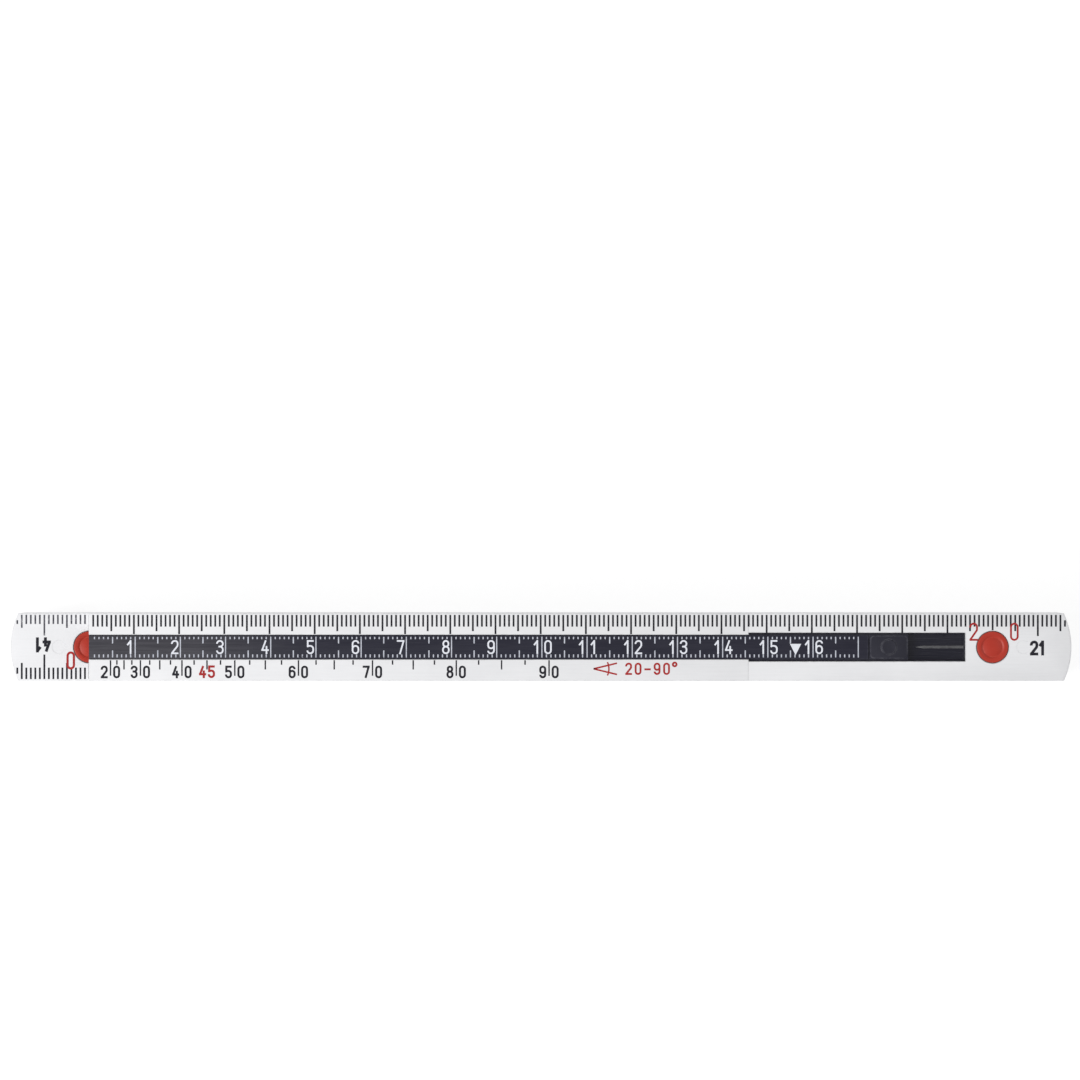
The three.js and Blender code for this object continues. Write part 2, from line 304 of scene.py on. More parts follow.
# The dark grey for the edges paints shade along the rims of the white leaves, with some dirt; it also draws
# the sliding lines.
leaf_plastic, leaf_tree, leaf_shader, leaf_grain = plastic(
    "White glass-filled plastic", LEAF_WHITE, (0.755, 0.757, 0.773), (0.40, 0.40, 0.41),
    (0.55, 0.06), (0.36, 0.48), 1000.0, 0.00002, 0.35,
)
clean_white = leaf_shader.inputs["Base Color"].links[0].from_socket
speck_share = calculate(leaf_tree, "MULTIPLY", leaf_grain.outputs["Specks"], 0.10)
join(leaf_tree, tint(leaf_tree, clean_white, (0.5, 0.5, 0.52), speck_share), leaf_shader.inputs["Base Color"])
print("material:", leaf_plastic.name)

# %% [markdown]
# ## The red, black and glossy plastics
# The pins are a satin red that goes orange where it is rubbed. The gauge is black with a bluish cast. The
# bed it slides on is a smoother, glossier black, polished by the sliding. The thumb patch is eroded in the
# mould to a coarse, matt grain that a thumb can hold, so its bump is much stronger.

# %% Coloured plastics
pin_plastic, *_ = plastic(
    "Satin red plastic", (0.45, 0.034, 0.018), (0.38, 0.027, 0.014), (0.62, 0.12, 0.075),
    (0.35, 0.03), (0.34, 0.44), 1300.0, 0.00003, 0.4,
)
gauge_plastic, gauge_tree, gauge_shader, _ = plastic(
    "Black gauge plastic", (0.009, 0.009, 0.020), (0.013, 0.013, 0.026), (0.06, 0.06, 0.08),
    (0.10, 0.12), (0.34, 0.44), 1200.0, 0.00002, 0.45,
)
thumb_plastic, *_ = plastic(
    "Eroded black plastic", (0.014, 0.014, 0.024), (0.023, 0.023, 0.035), (0.15, 0.15, 0.17),
    (0.14, 0.0), (0.6, 0.78), 1500.0, 0.00008, 0.9,
)
bed_plastic, *_ = plastic(
    "Polished black plastic", (0.005, 0.005, 0.013), (0.008, 0.008, 0.017), (0.12, 0.12, 0.14),
    (0.10, 0.08), (0.16, 0.28), 500.0, 0.00002, 0.25,
)
# The rib's paler black paints the highlight that its ridge catches; its edges are rubbed.
rib_plastic, *_ = plastic(
    "Rubbed black plastic with painted highlight", (0.03, 0.03, 0.035), (0.085, 0.085, 0.09), (0.30, 0.30, 0.31),
    (0.10, 0.1), (0.22, 0.36), 900.0, 0.00002, 0.25,
)
print("materials:", pin_plastic.name, gauge_plastic.name, thumb_plastic.name, bed_plastic.name, sep="\n  ")

# %% [markdown]
# ## The paler tip of the gauge
# The first few centimetres of the gauge are greyer than the rest. The grey is partly wear, from being pushed
# against the bottom of every hole that is measured, and partly a painted sheen, the reflection of the lamp
# at the left. A second colour could be painted on the mesh. Here the piece's own X coordinate is the mask,
# broken up by noise, because then the grey moves with the gauge and needs no map.

# %% Grey the gauge's tip
tip_place = add_node(gauge_tree, "ShaderNodeTexCoord").outputs["Object"]
tip_axes = add_node(gauge_tree, "ShaderNodeSeparateXYZ")
join(gauge_tree, tip_place, tip_axes.inputs["Vector"])
GREY_UP_TO = -72 * MM
BLACK_FROM = -44 * MM
tip_noise = noise_at(gauge_tree, tip_place, 220.0, 1.0, 5.0)
ragged = calculate(gauge_tree, "MULTIPLY", tip_noise, 0.012)
from_tip = calculate(gauge_tree, "ADD", tip_axes.outputs["X"], ragged)
tip_fade = add_node(
    gauge_tree, "ShaderNodeMapRange",
    {"From Min": GREY_UP_TO, "From Max": BLACK_FROM, "To Min": 0.85, "To Max": 0.0}, clamp=True,
)
join(gauge_tree, from_tip, tip_fade.inputs["Value"])
black_paint = gauge_shader.inputs["Base Color"].links[0].from_socket
tip_lines = place_effect(gauge_tree, lines, Size=2200.0).outputs["Lines"]
# A paler grey: partly wear, partly a painted sheen of the lamp at the left.
sheen_and_wear_grey = tint(gauge_tree, (0.030, 0.029, 0.037), (0.061, 0.059, 0.070), tip_lines)
grey_tip = tint(gauge_tree, black_paint, sheen_and_wear_grey, tip_fade.outputs["Result"])
join(gauge_tree, grey_tip, gauge_shader.inputs["Base Color"])
print("the gauge's grey tip fades out", round((BLACK_FROM - GREY_UP_TO) / MM), "mm long")

# %% [markdown]
# ## Spring steel
# The wave washers inside the pivots are punched from blued strip. They only show when a pivot is taken
# apart, but they are drawn with fine rolling lines and a few darker, heat-tinted patches all the same.

# %% Steel
spring_steel, steel_tree, steel_shader = new_material("Spring steel", 0.3, 1.0)
steel_grain = place_effect(steel_tree, grain, Size=900.0)
steel_rub = place_effect(steel_tree, rub_and_rim_shade, Reach=0.0001, Patch_size=2000.0)
steel_tone = tint(steel_tree, (0.50, 0.50, 0.51), (0.36, 0.35, 0.37), steel_grain.outputs["Clouds"])
rubbed_steel = tint(steel_tree, steel_tone, (0.7, 0.7, 0.7), steel_rub.outputs["Mask"])
join(steel_tree, rubbed_steel, steel_shader.inputs["Base Color"])
rolling_lines = place_effect(steel_tree, lines, Size=9000.0).outputs["Lines"]
steel_shine = add_node(steel_tree, "ShaderNodeMapRange", {"To Min": 0.22, "To Max": 0.42})
join(steel_tree, rolling_lines, steel_shine.inputs["Value"])
join(steel_tree, steel_shine.outputs["Result"], steel_shader.inputs["Roughness"])
steel_bump = add_node(steel_tree, "ShaderNodeBump", {"Strength": 0.3, "Distance": 0.00001})
join(steel_tree, rolling_lines, steel_bump.inputs["Height"])
join(steel_tree, steel_bump.outputs["Normal"], steel_shader.inputs["Normal"])
print("material:", spring_steel.name)

# %% [markdown]
# ## Printing inks
# The scales are pad printed. Such ink is thin: it is a little uneven, has pinholes where it missed the
# grain, and rubs off in patches. The effect gives a mask of missing ink from two sizes of noise, and each
# ink mixes towards the plastic under it by that mask. A second, paler black is for the scales along edges
# that rub in the pocket.

# %% Effect and inks
thin_inputs = {"Wear": 0.2, "Patch size": 900.0}
thin, thin_in, thin_out = new_effect("Thin ink", thin_inputs, ["Missing", "Unevenness"])
thin_place = add_node(thin, "ShaderNodeTexCoord").outputs["Object"]
pinholes = noise_at(thin, thin_place, thin_in.outputs["Patch size"], 6.0, 3.0)
rubbed_off = noise_at(thin, thin_place, thin_in.outputs["Patch size"], 1.0, 5.0)
both = calculate(thin, "MULTIPLY", calculate(thin, "ADD", pinholes, rubbed_off), 0.5)
limit = calculate(thin, "SUBTRACT", 0.72, calculate(thin, "MULTIPLY", thin_in.outputs["Wear"], 0.25))
over = calculate(thin, "MULTIPLY", calculate(thin, "SUBTRACT", both, limit), 9.0, clamp=True)
join(thin, over, thin_out.inputs["Missing"])
join(thin, between(thin, rubbed_off, 0.3, 0.7), thin_out.inputs["Unevenness"])


def ink(name, colour, uneven_colour, ground, wear):
    material, tree, shader = new_material(name, 0.5)
    shader.inputs["Specular IOR Level"].default_value = 0.2
    cover = place_effect(tree, thin, Wear=wear, Patch_size=900.0)
    paint = tint(tree, colour, uneven_colour, cover.outputs["Unevenness"])
    join(tree, tint(tree, paint, ground, cover.outputs["Missing"]), shader.inputs["Base Color"])
    shine = add_node(tree, "ShaderNodeMapRange", {"To Min": 0.42, "To Max": 0.6})
    join(tree, cover.outputs["Unevenness"], shine.inputs["Value"])
    join(tree, shine.outputs["Result"], shader.inputs["Roughness"])
    bump = add_node(tree, "ShaderNodeBump", {"Strength": 0.2, "Distance": 0.00001})
    join(tree, cover.outputs["Unevenness"], bump.inputs["Height"])
    join(tree, bump.outputs["Normal"], shader.inputs["Normal"])
    return material


black_ink = ink("Black ink", (0.010, 0.010, 0.015), (0.020, 0.020, 0.028), LEAF_WHITE, 0.05)
rubbed_ink = ink("Black ink, rubbed", (0.035, 0.035, 0.048), (0.10, 0.10, 0.12), LEAF_WHITE, 0.55)
red_ink = ink("Red ink", (0.33, 0.019, 0.019), (0.41, 0.030, 0.028), LEAF_WHITE, 0.05)
white_ink = ink("White ink", (0.80, 0.82, 0.88), (0.70, 0.72, 0.78), (0.05, 0.05, 0.06), 0.1)
grey_ink = ink("White ink, rubbed", (0.58, 0.60, 0.67), (0.44, 0.46, 0.52), (0.04, 0.04, 0.05), 0.45)
print("inks:", len([m for m in bpy.data.materials if "ink" in m.name]))

# %% [markdown]
# ## The table
# The rule lies on a plain white table. The floor glows faintly as well as being lit, like the lit table of
# a product studio, so that the shadow beside the rule stays pale. It is very large because the rule is two
# metres long when it is open. A plain grid with one face is all it needs.

# %% Floor
floor_material, floor_tree, floor_shader = new_material("Studio table", 0.75)
floor_place = add_node(floor_tree, "ShaderNodeTexCoord").outputs["Object"]
floor_noise = add_node(floor_tree, "ShaderNodeTexNoise", {"Scale": 900.0, "Detail": 4.0})
join(floor_tree, floor_place, floor_noise.inputs["Vector"])
join(
    floor_tree,
    tint(floor_tree, (0.25, 0.25, 0.25), (0.28, 0.28, 0.28), floor_noise.outputs["Fac"]),
    floor_shader.inputs["Base Color"],
)
floor_shader.inputs["Emission Color"].default_value = (1.0, 1.0, 1.0, 1.0)
floor_shader.inputs["Emission Strength"].default_value = 0.78
FLOOR_HALF = 100.0
floor_mesh = bpy.data.meshes.new("Studio table")
floor_work = bmesh.new()
bmesh.ops.create_grid(floor_work, x_segments=1, y_segments=1, size=FLOOR_HALF)
floor_work.to_mesh(floor_mesh)
floor_work.free()
floor_mesh.materials.append(floor_material)
floor = bpy.data.objects.new("Studio table", floor_mesh)
bpy.context.scene.collection.objects.link(floor)
print("floor:", 2 * FLOOR_HALF, "m square")

# %% [markdown]
# ## Lamps and surroundings
# The main lamp is a big soft one at the left, a little towards the reader, and a dim one from the right
# keeps the dark side readable. Area lamps are used because their size sets how soft a shadow is: a point
# lamp would draw hard lines beside every rim. Even white walls fill in the rest.

# %% Lamps and surroundings
def soft_lamp(name, place, target, width, power):
    lamp_data = bpy.data.lights.new(name, "AREA")
    lamp_data.shape = "SQUARE"
    lamp_data.size = width
    lamp_data.energy = power
    lamp = bpy.data.objects.new(name, lamp_data)
    lamp.location = place
    lamp.rotation_euler = (Vector(target) - Vector(place)).to_track_quat("-Z", "Y").to_euler()
    bpy.context.scene.collection.objects.link(lamp)


soft_lamp("Lamp at the left", (-1.33, -0.40, 1.10), (0.0, 0.0, 0.0), 1.04, 24.0)
soft_lamp("Lamp at the right", (1.3, 0.5, 1.5), (0.0, 0.0, 0.0), 1.2, 4.0)
world = bpy.data.worlds.new("Studio walls")
bpy.context.scene.world = world
world.use_nodes = True
world.node_tree.nodes["Background"].inputs["Color"].default_value = (1.0, 1.0, 1.0, 1.0)
world.node_tree.nodes["Background"].inputs["Strength"].default_value = 0.56
print("lights:", len(bpy.data.lights))

# %% [markdown]
# ## From a mesh in the workshop to a piece on the frame
# Every piece is shaped in millimetres, because that is how a rule is drawn. The helper below turns it into
# metres with its place in the mesh, gives it its material, rides it on the body it belongs to and hides
# the frame's simpler part. Faces that lie square to an axis stay flat and the others are smoothed, which
# keeps the long flats clean and the roundings soft.


# %% Helper: finish a piece
def shade(work):
    for face in work.faces:
        square_on = max(abs(face.normal.x), abs(face.normal.y), abs(face.normal.z))
        face.smooth = square_on < 0.9999


def finish_piece(name, work, body, materials, replaced=()):
    bmesh.ops.recalc_face_normals(work, faces=work.faces)
    work.normal_update()
    shade(work)
    bmesh.ops.scale(work, vec=(MM, MM, MM), verts=work.verts)
    mesh = bpy.data.meshes.new(name)
    work.to_mesh(mesh)
    work.free()
    mesh.set_sharp_from_angle(angle=math.radians(38))
    for material in materials:
        mesh.materials.append(material)
    piece = bpy.data.objects.new(name, mesh)
    bpy.context.scene.collection.objects.link(piece)
    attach(piece, body)
    if replaced:
        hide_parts(*replaced)
    return piece


print("pieces are finished in metres and shaped in millimetres")

# %% [markdown]
# ## Turning and cutting
# Round shapes such as heads, bosses and bores are turned: half of the section is drawn beside the axis and
# spun round it. A Boolean then joins such a shape to a leaf or cuts it out. The exact solver is slower
# than the fast one, but it copes with faces that lie in the same plane, and leaves have many of those.
# Two more helpers pull a flat outline up to a solid and round a list of edges.


# %% Helpers: turn, block, combine
def turned(section, x, steps=96):
    """A round solid on a vertical axis at x. The section is a list of (radius, height)."""
    work = bmesh.new()
    corners = [work.verts.new((x + radius, 0.0, height)) for radius, height in section]
    chain = [work.edges.new(pair) for pair in zip(corners, corners[1:])]
    if section[0][0] > 0:
        chain.append(work.edges.new((corners[-1], corners[0])))
    bmesh.ops.spin(
        work, geom=corners + chain, cent=(x, 0.0, 0.0), axis=(0.0, 0.0, 1.0),
        angle=2 * math.pi, steps=steps, use_merge=True,
    )
    bmesh.ops.remove_doubles(work, verts=work.verts, dist=1e-4)
    bmesh.ops.recalc_face_normals(work, faces=work.faces)
    return work


def block(low, high):
    work = bmesh.new()
    middle_point = (Vector(low) + Vector(high)) / 2
    size = Vector(high) - Vector(low)
    place = Matrix.Translation(middle_point) @ Matrix.Diagonal((*size, 1.0))
    bmesh.ops.create_cube(work, size=1.0, matrix=place)
    return work


def pull_up(work, rise):
    """Pulls all faces of a flat shape up and closes its sides."""
    pulled = bmesh.ops.extrude_face_region(work, geom=work.faces[:])
    raised = [v for v in pulled["geom"] if isinstance(v, bmesh.types.BMVert)]
    bmesh.ops.translate(work, vec=(0.0, 0.0, rise), verts=raised)


def round_edges(work, edges, radius, steps):
    bmesh.ops.bevel(
        work, geom=edges, offset=radius, segments=steps, profile=0.5, affect="EDGES", material=-1
    )


def workshop_object(name, work):
    mesh = bpy.data.meshes.new(name)
    work.to_mesh(mesh)
    work.free()
    made = bpy.data.objects.new(name, mesh)
    bpy.context.scene.collection.objects.link(made)
    return made


def combine(base, tool, operation):
    """Joins (UNION) or cuts (DIFFERENCE) two shapes and uses both up."""
    base_object = workshop_object("base in work", base)
    tool_object = workshop_object("tool in work", tool)
    change = base_object.modifiers.new("Combine", "BOOLEAN")
    change.operation = operation
    change.solver = "EXACT"
    change.object = tool_object
    result = bmesh.new()
    result.from_object(base_object, bpy.context.evaluated_depsgraph_get())
    for used in (base_object, tool_object):
        mesh = used.data
        bpy.data.objects.remove(used)
        bpy.data.meshes.remove(mesh)
    return result


def add_shape(work, other):
    """Puts a second, separate shape into the same mesh."""
    carrier = bpy.data.meshes.new("carrier")
    other.to_mesh(carrier)
    other.free()
    work.from_mesh(carrier)
    bpy.data.meshes.remove(carrier)
    return work


print("helpers for turning, pulling, rounding and cutting are ready")

# %% [markdown]
# ## Reading the sizes off the frame
# Where each leaf and pivot lies comes from the frame's own boxes and joints. The details that a box does
# not show, such as the size of a bore, are named here once, in millimetres. The visible skin of a leaf
# lies two hundredths of a millimetre inside the frame's, which leaves room for the layer of ink.

# %% Sizes
LEAVES = range(1, 11)
PIVOTS = range(1, 10)
LEAF_THICKNESS = 3.15
SKIN = 0.02
END_RADIUS = 17.5 - SKIN
HALF_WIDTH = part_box("leaf_05")[1].y / MM - SKIN
BOSS_RADIUS = 7.87
BOSS_HEIGHT = 0.68
BOSS_TAPER = 0.2
BOSS_CLEARANCE = 0.2
HEAD_RADIUS = 3.475
SEAT_RADIUS = 3.625
SEAT_DEPTH = 0.96
BORE_RADIUS = 2.15
SHAFT_RADIUS = 2.0
POCKET_RADIUS = 4.9
POCKET_DEPTH = 1.0
RAIL_RISE = 0.08
RIM = 0.07
OUTER_RIM = 0.2
pivot_x = {}
for joint in frame["joints"]:
    if joint["name"].startswith("hinge_"):
        pivot_x[int(joint["name"].split("_")[1])] = joint["pos_m"][0] / MM
leaf_low = {leaf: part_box(f"leaf_{leaf:02d}")[0].z / MM for leaf in LEAVES}
leaf_face = {leaf: leaf_low[leaf] + LEAF_THICKNESS for leaf in LEAVES}
SQUARE_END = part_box("leaf_01")[0].x / MM
print("pivots at", {p: round(x, 1) for p, x in sorted(pivot_x.items())})

# %% [markdown]
# ## The plate of a leaf
# A leaf starts as its outline from above. The round end is part of a circle about the pivot, so one corner
# point is spun about the pivot to the other corner. Straight edges join the two ends, the outline is
# filled and pulled up to the leaf's thickness, and a bevel rounds its rims as a mould does. The outer face
# of an outer leaf has a wider chamfer on its round end, which the hand feels when the rule is closed.


# %% Helper: leaf plate
def outline_end(work, x, side, low, is_round):
    """Points of one end from its first corner round to the last, going anticlockwise."""
    half_angle = math.asin(HALF_WIDTH / END_RADIUS)
    if not is_round:
        return [work.verts.new((x, -side * HALF_WIDTH, low)), work.verts.new((x, side * HALF_WIDTH, low))]
    reach = END_RADIUS * math.cos(half_angle)
    first = work.verts.new((x + side * reach, -side * HALF_WIDTH, low))
    bmesh.ops.spin(
        work, geom=[first], cent=(x, 0.0, low), axis=(0.0, 0.0, 1.0), angle=2 * half_angle, steps=28
    )
    return sorted((v for v in work.verts if v.co.x * side > 0), key=lambda v: v.co.y * side)


def rim_edges(work, height):
    return [e for e in work.edges if all(abs(v.co.z - height) < 1e-4 for v in e.verts)]


def leaf_plate(left, right, low, high, round_left, round_right, rim_low, rim_high, chamfered=None):
    work = bmesh.new()
    right_end = outline_end(work, right, 1, low, round_right)
    left_end = outline_end(work, left, -1, low, round_left)
    work.edges.new((right_end[-1], left_end[0]))
    work.edges.new((left_end[-1], right_end[0]))
    for end in (right_end, left_end):
        if len(end) == 2:
            work.edges.new(end)
    bmesh.ops.contextual_create(work, geom=work.edges[:])
    pull_up(work, high - low)
    bmesh.ops.recalc_face_normals(work, faces=work.faces)
    if chamfered is not None:
        arc = [e for e in rim_edges(work, chamfered) if min(v.co.x for v in e.verts) > right + 10]
        round_edges(work, arc, 0.5, 2)
    for height, rim in ((low, rim_low), (high, rim_high)):
        edges = [
            e for e in rim_edges(work, height)
            if chamfered != height or max(v.co.x for v in e.verts) - min(v.co.x for v in e.verts) > 5
            or max(v.co.x for v in e.verts) < right
        ]
        round_edges(work, edges, rim, 3)
    return work


trial = leaf_plate(-100, 100, 0, 3, True, True, 0.12, 0.12)
trial_open = sum(e.is_boundary for e in trial.edges)
print("a trial leaf plate has", len(trial.faces), "faces and", trial_open, "open edges")
trial.free()

# %% [markdown]
# ## Holes, bosses and seats
# At each pivot the lower leaf carries a round boss and the upper leaf a recess over it. One stepped
# section gives all the holes on one side of a pivot in a single cut. Small slopes at the mouths break the
# sharp edges, as the mould does. The boss is wider than the leaf, so it is trimmed level with the leaf's
# long edges. Those trimmed flats are the small bumps that show in the seams from the side.


# %% Helpers: pivot shapes
def boss_for(leaf, x):
    face = leaf_face[leaf] - SKIN
    top = leaf_face[leaf] + BOSS_HEIGHT
    foot = BOSS_RADIUS - SKIN
    section = [
        (0.0, face - 0.4),
        (foot + 0.077, face - 0.4),
        (foot - BOSS_TAPER + 0.08, top - 0.08),
        (foot - BOSS_TAPER - 0.02, top),
        (0.0, top),
    ]
    boss = turned(section, x, steps=120)
    for side in (1, -1):
        bmesh.ops.bisect_plane(
            boss, geom=boss.verts[:] + boss.edges[:] + boss.faces[:], dist=1e-5,
            plane_co=(0.0, side * HALF_WIDTH, 0.0), plane_no=(0.0, side, 0.0), clear_outer=True,
        )
        cut = [e for e in boss.edges if e.is_boundary]
        bmesh.ops.contextual_create(boss, geom=cut)
    bmesh.ops.recalc_face_normals(boss, faces=boss.faces)
    return boss


def upper_side_cut(leaf, x):
    low = leaf_low[leaf] + SKIN
    face = leaf_face[leaf] - SKIN
    mouth = BOSS_RADIUS + BOSS_CLEARANCE
    ceiling = leaf_low[leaf] + BOSS_HEIGHT
    seat = leaf_face[leaf] - SEAT_DEPTH
    section = [
        (0.0, low - 1.0),
        (mouth + 0.3, low - 1.0),
        (mouth, low),
        (mouth - BOSS_TAPER, ceiling),
        (BORE_RADIUS, ceiling),
        (BORE_RADIUS, seat),
        (SEAT_RADIUS, seat),
        (SEAT_RADIUS, face - RIM),
        (SEAT_RADIUS + RIM, face),
        (SEAT_RADIUS + RIM, face + 1.0),
        (0.0, face + 1.0),
    ]
    return turned(section, x)


def lower_side_cut(leaf, x):
    low = leaf_low[leaf] + SKIN
    boss_top = leaf_face[leaf] + BOSS_HEIGHT
    section = [
        (0.0, low - 1.0),
        (SEAT_RADIUS + RIM, low - 1.0),
        (SEAT_RADIUS + RIM, low),
        (SEAT_RADIUS, low + RIM),
        (SEAT_RADIUS, leaf_low[leaf] + SEAT_DEPTH),
        (BORE_RADIUS, leaf_low[leaf] + SEAT_DEPTH),
        (BORE_RADIUS, boss_top - POCKET_DEPTH),
        (POCKET_RADIUS, boss_top - POCKET_DEPTH),
        (POCKET_RADIUS, boss_top - 0.08),
        (POCKET_RADIUS + 0.08, boss_top),
        (POCKET_RADIUS + 0.08, boss_top + 1.0),
        (0.0, boss_top + 1.0),
    ]
    return turned(section, x)


def ejector_mark(x, height, into):
    """The shallow round print of an ejector pin. into is -1 for a mark in the face and +1 under the leaf."""
    depth = 0.035
    section = [
        (0.0, height + into * depth),
        (1.47, height + into * depth),
        (1.55, height - into * 0.2),
        (0.0, height - into * 0.2),
    ]
    return turned(section, x, steps=48)


print("pivot shapes are ready")

# %% [markdown]
# ## Leaves 2 to 10
# The nine leaves below the top one differ only in their height, in which end has the boss and in the
# square end of the last one. So one function makes them all from a plate, a boss and the cuts. Each leaf
# stays a piece of its own on its own body, because each turns on its own pivot.

# %% Make leaves 2 to 10
MARK_OUTWARD = 6.8


def plain_leaf(leaf):
    boss_at = pivot_x[leaf - 1]
    last = leaf == len(LEAVES)
    work = leaf_plate(
        SQUARE_END + SKIN if last else -100.0, 100.0, leaf_low[leaf] + SKIN, leaf_face[leaf] - SKIN,
        not last, True, OUTER_RIM if last else RIM, RIM, leaf_low[leaf] + SKIN if last else None,
    )
    work = combine(work, boss_for(leaf, boss_at), "UNION")
    cuts = lower_side_cut(leaf, boss_at)
    if not last:
        side = 1 if pivot_x[leaf] > 0 else -1
        add_shape(cuts, upper_side_cut(leaf, pivot_x[leaf]))
        add_shape(cuts, ejector_mark(pivot_x[leaf] + side * MARK_OUTWARD, leaf_face[leaf] - SKIN, -1))
    side = 1 if boss_at > 0 else -1
    add_shape(cuts, ejector_mark(boss_at + side * MARK_OUTWARD, leaf_low[leaf] + SKIN, 1))
    return combine(work, cuts, "DIFFERENCE")


for leaf in list(LEAVES)[1:]:
    name = f"leaf_{leaf:02d}"
    shaped = plain_leaf(leaf)
    open_edges = sum(edge.is_boundary for edge in shaped.edges)
    print(name, "has", len(shaped.faces), "faces and", open_edges, "open edges")
    finish_piece(f"{name}_moulded", shaped, f"body_{name}", [leaf_plastic], [name])

# %% [markdown]
# ## Leaf 1
# The top leaf holds the gauge's channel. Over most of its length two thin rails hang over the channel and
# keep the gauge in, and the face is a hair higher there. The last part of the channel is open, so that a
# thumb reaches the gauge. The leaf is joined from a plate and a raised plate, and the channel is cut in
# three steps.

# %% Make leaf 1
CHANNEL_HALF = 3.2
RAIL_SLOT_HALF = 2.75
CHANNEL_END = 94.0
RAIL_END = 46.0
CHANNEL_FLOOR = leaf_low[1] + 1.15
RAIL_UNDERSIDE = leaf_face[1] - 0.6
top_low = leaf_low[1] + SKIN
top_face = leaf_face[1] - SKIN
railed_face = leaf_face[1] + RAIL_RISE - SKIN
left_end = SQUARE_END + SKIN
top_leaf = leaf_plate(left_end, 100.0, top_low, top_face, False, True, RIM, OUTER_RIM, top_face)
raised_plate = leaf_plate(left_end, RAIL_END, top_low + 0.5, railed_face, False, False, 0.1, OUTER_RIM)
top_leaf = combine(top_leaf, raised_plate, "UNION")
start = SQUARE_END - 1.0
channel_cuts = [
    block((start, -CHANNEL_HALF, CHANNEL_FLOOR), (CHANNEL_END, CHANNEL_HALF, RAIL_UNDERSIDE)),
    block((start, -RAIL_SLOT_HALF, CHANNEL_FLOOR), (CHANNEL_END - 0.5, RAIL_SLOT_HALF, railed_face + 1.0)),
    block((RAIL_END, -CHANNEL_HALF, CHANNEL_FLOOR), (CHANNEL_END, CHANNEL_HALF, railed_face + 1.0)),
]
for cut in channel_cuts:
    top_leaf = combine(top_leaf, cut, "DIFFERENCE")
pivot_cuts = upper_side_cut(1, pivot_x[1])
add_shape(pivot_cuts, ejector_mark(pivot_x[1] + MARK_OUTWARD, top_face, -1))
top_leaf = combine(top_leaf, pivot_cuts, "DIFFERENCE")
print("leaf_01 has", len(top_leaf.faces), "faces")


# %% [markdown]
# ## The lips of the channel
# The gauge slides past the lips of the channel all the time, and the mould gives them a small rounding
# that catches the light as a thin line. They are found by where they lie, as long edges beside the channel
# at the height of the face. A Bevel modifier on the whole leaf would round every hole as well.

# %% Round the lips of the channel
def lip_edges(work):
    """The long edges along the channel's mouth and under the rails."""
    found = []
    for edge in work.edges:
        a, b = (v.co for v in edge.verts)
        along = abs(a.x - b.x) > 20 and abs(a.y - b.y) < 1e-4 and abs(a.z - b.z) < 1e-4
        inner = abs(abs(a.y) - RAIL_SLOT_HALF) < 1e-3 or abs(abs(a.y) - CHANNEL_HALF) < 1e-3
        at_face = a.z > top_face - 1e-3
        if along and inner and at_face:
            found.append(edge)
    return found


lips = lip_edges(top_leaf)
print("lips to round:", len(lips))
round_edges(top_leaf, lips, 0.09, 2)
print("open edges after rounding:", sum(e.is_boundary for e in top_leaf.edges))
finish_piece("leaf_01_moulded", top_leaf, "body_leaf_01", [leaf_plastic], ["leaf_01"])

# %% [markdown]
# ## Pivot pins
# A pin is a turned part: a flat head with a rounded rim, a sunk inner disc with a slope round it, and a
# shaft that reaches down to the cap. The slope is what shows as a ring on the red button, dark on one side
# and light on the other. The end of the shaft has a small dimple from the moulding gate.

# %% Make the pins
for pivot in PIVOTS:
    head_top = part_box(f"pivot_pin_{pivot}")[1].z / MM
    shaft_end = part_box(f"pivot_pin_{pivot}")[0].z / MM
    section = [
        (0.0, head_top - 0.2),
        (2.05, head_top - 0.2),
        (2.15, head_top - 0.26),
        (2.26, head_top - 0.24),
        (2.52, head_top - 0.03),
        (2.66, head_top),
        (3.20, head_top),
        (3.32, head_top - 0.02),
        (3.42, head_top - 0.08),
        (HEAD_RADIUS, head_top - 0.19),
        (HEAD_RADIUS, head_top - 0.9),
        (SHAFT_RADIUS + 0.1, head_top - 0.9),
        (SHAFT_RADIUS, head_top - 1.0),
        (SHAFT_RADIUS, shaft_end + 0.12),
        (SHAFT_RADIUS - 0.12, shaft_end),
        (0.6, shaft_end),
        (0.45, shaft_end + 0.12),
        (0.0, shaft_end + 0.14),
    ]
    pin = turned(section, pivot_x[pivot], steps=96)
    finish_piece(
        f"pivot_pin_{pivot}_turned", pin, f"body_leaf_{pivot:02d}", [pin_plastic],
        [f"pivot_pin_{pivot}"],
    )
print("pins:", len(PIVOTS), "heads", round(2 * HEAD_RADIUS, 2), "mm across")

# %% [markdown]
# ## Retaining caps
# A cap is the ring that is pressed on a shaft from below and keeps the two leaves together. On the real
# rule it is red like the pin. It has the same rounded rim, and a small slope at its bore guides the shaft
# in.

# %% Make the caps
for pivot in PIVOTS:
    cap_low, cap_high = (corner.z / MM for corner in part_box(f"retaining_cap_{pivot}"))
    section = [
        (2.05, cap_high),
        (2.05, cap_low + 0.12),
        (2.17, cap_low),
        (2.75, cap_low),
        (2.82, cap_low + 0.07),
        (2.95, cap_low + 0.07),
        (3.02, cap_low),
        (3.32, cap_low + 0.02),
        (3.42, cap_low + 0.08),
        (HEAD_RADIUS, cap_low + 0.19),
        (HEAD_RADIUS, cap_high),
    ]
    cap = turned(section, pivot_x[pivot], steps=96)
    finish_piece(
        f"retaining_cap_{pivot}_turned", cap, f"body_leaf_{pivot:02d}", [pin_plastic],
        [f"retaining_cap_{pivot}"],
    )
print("caps:", len(PIVOTS))

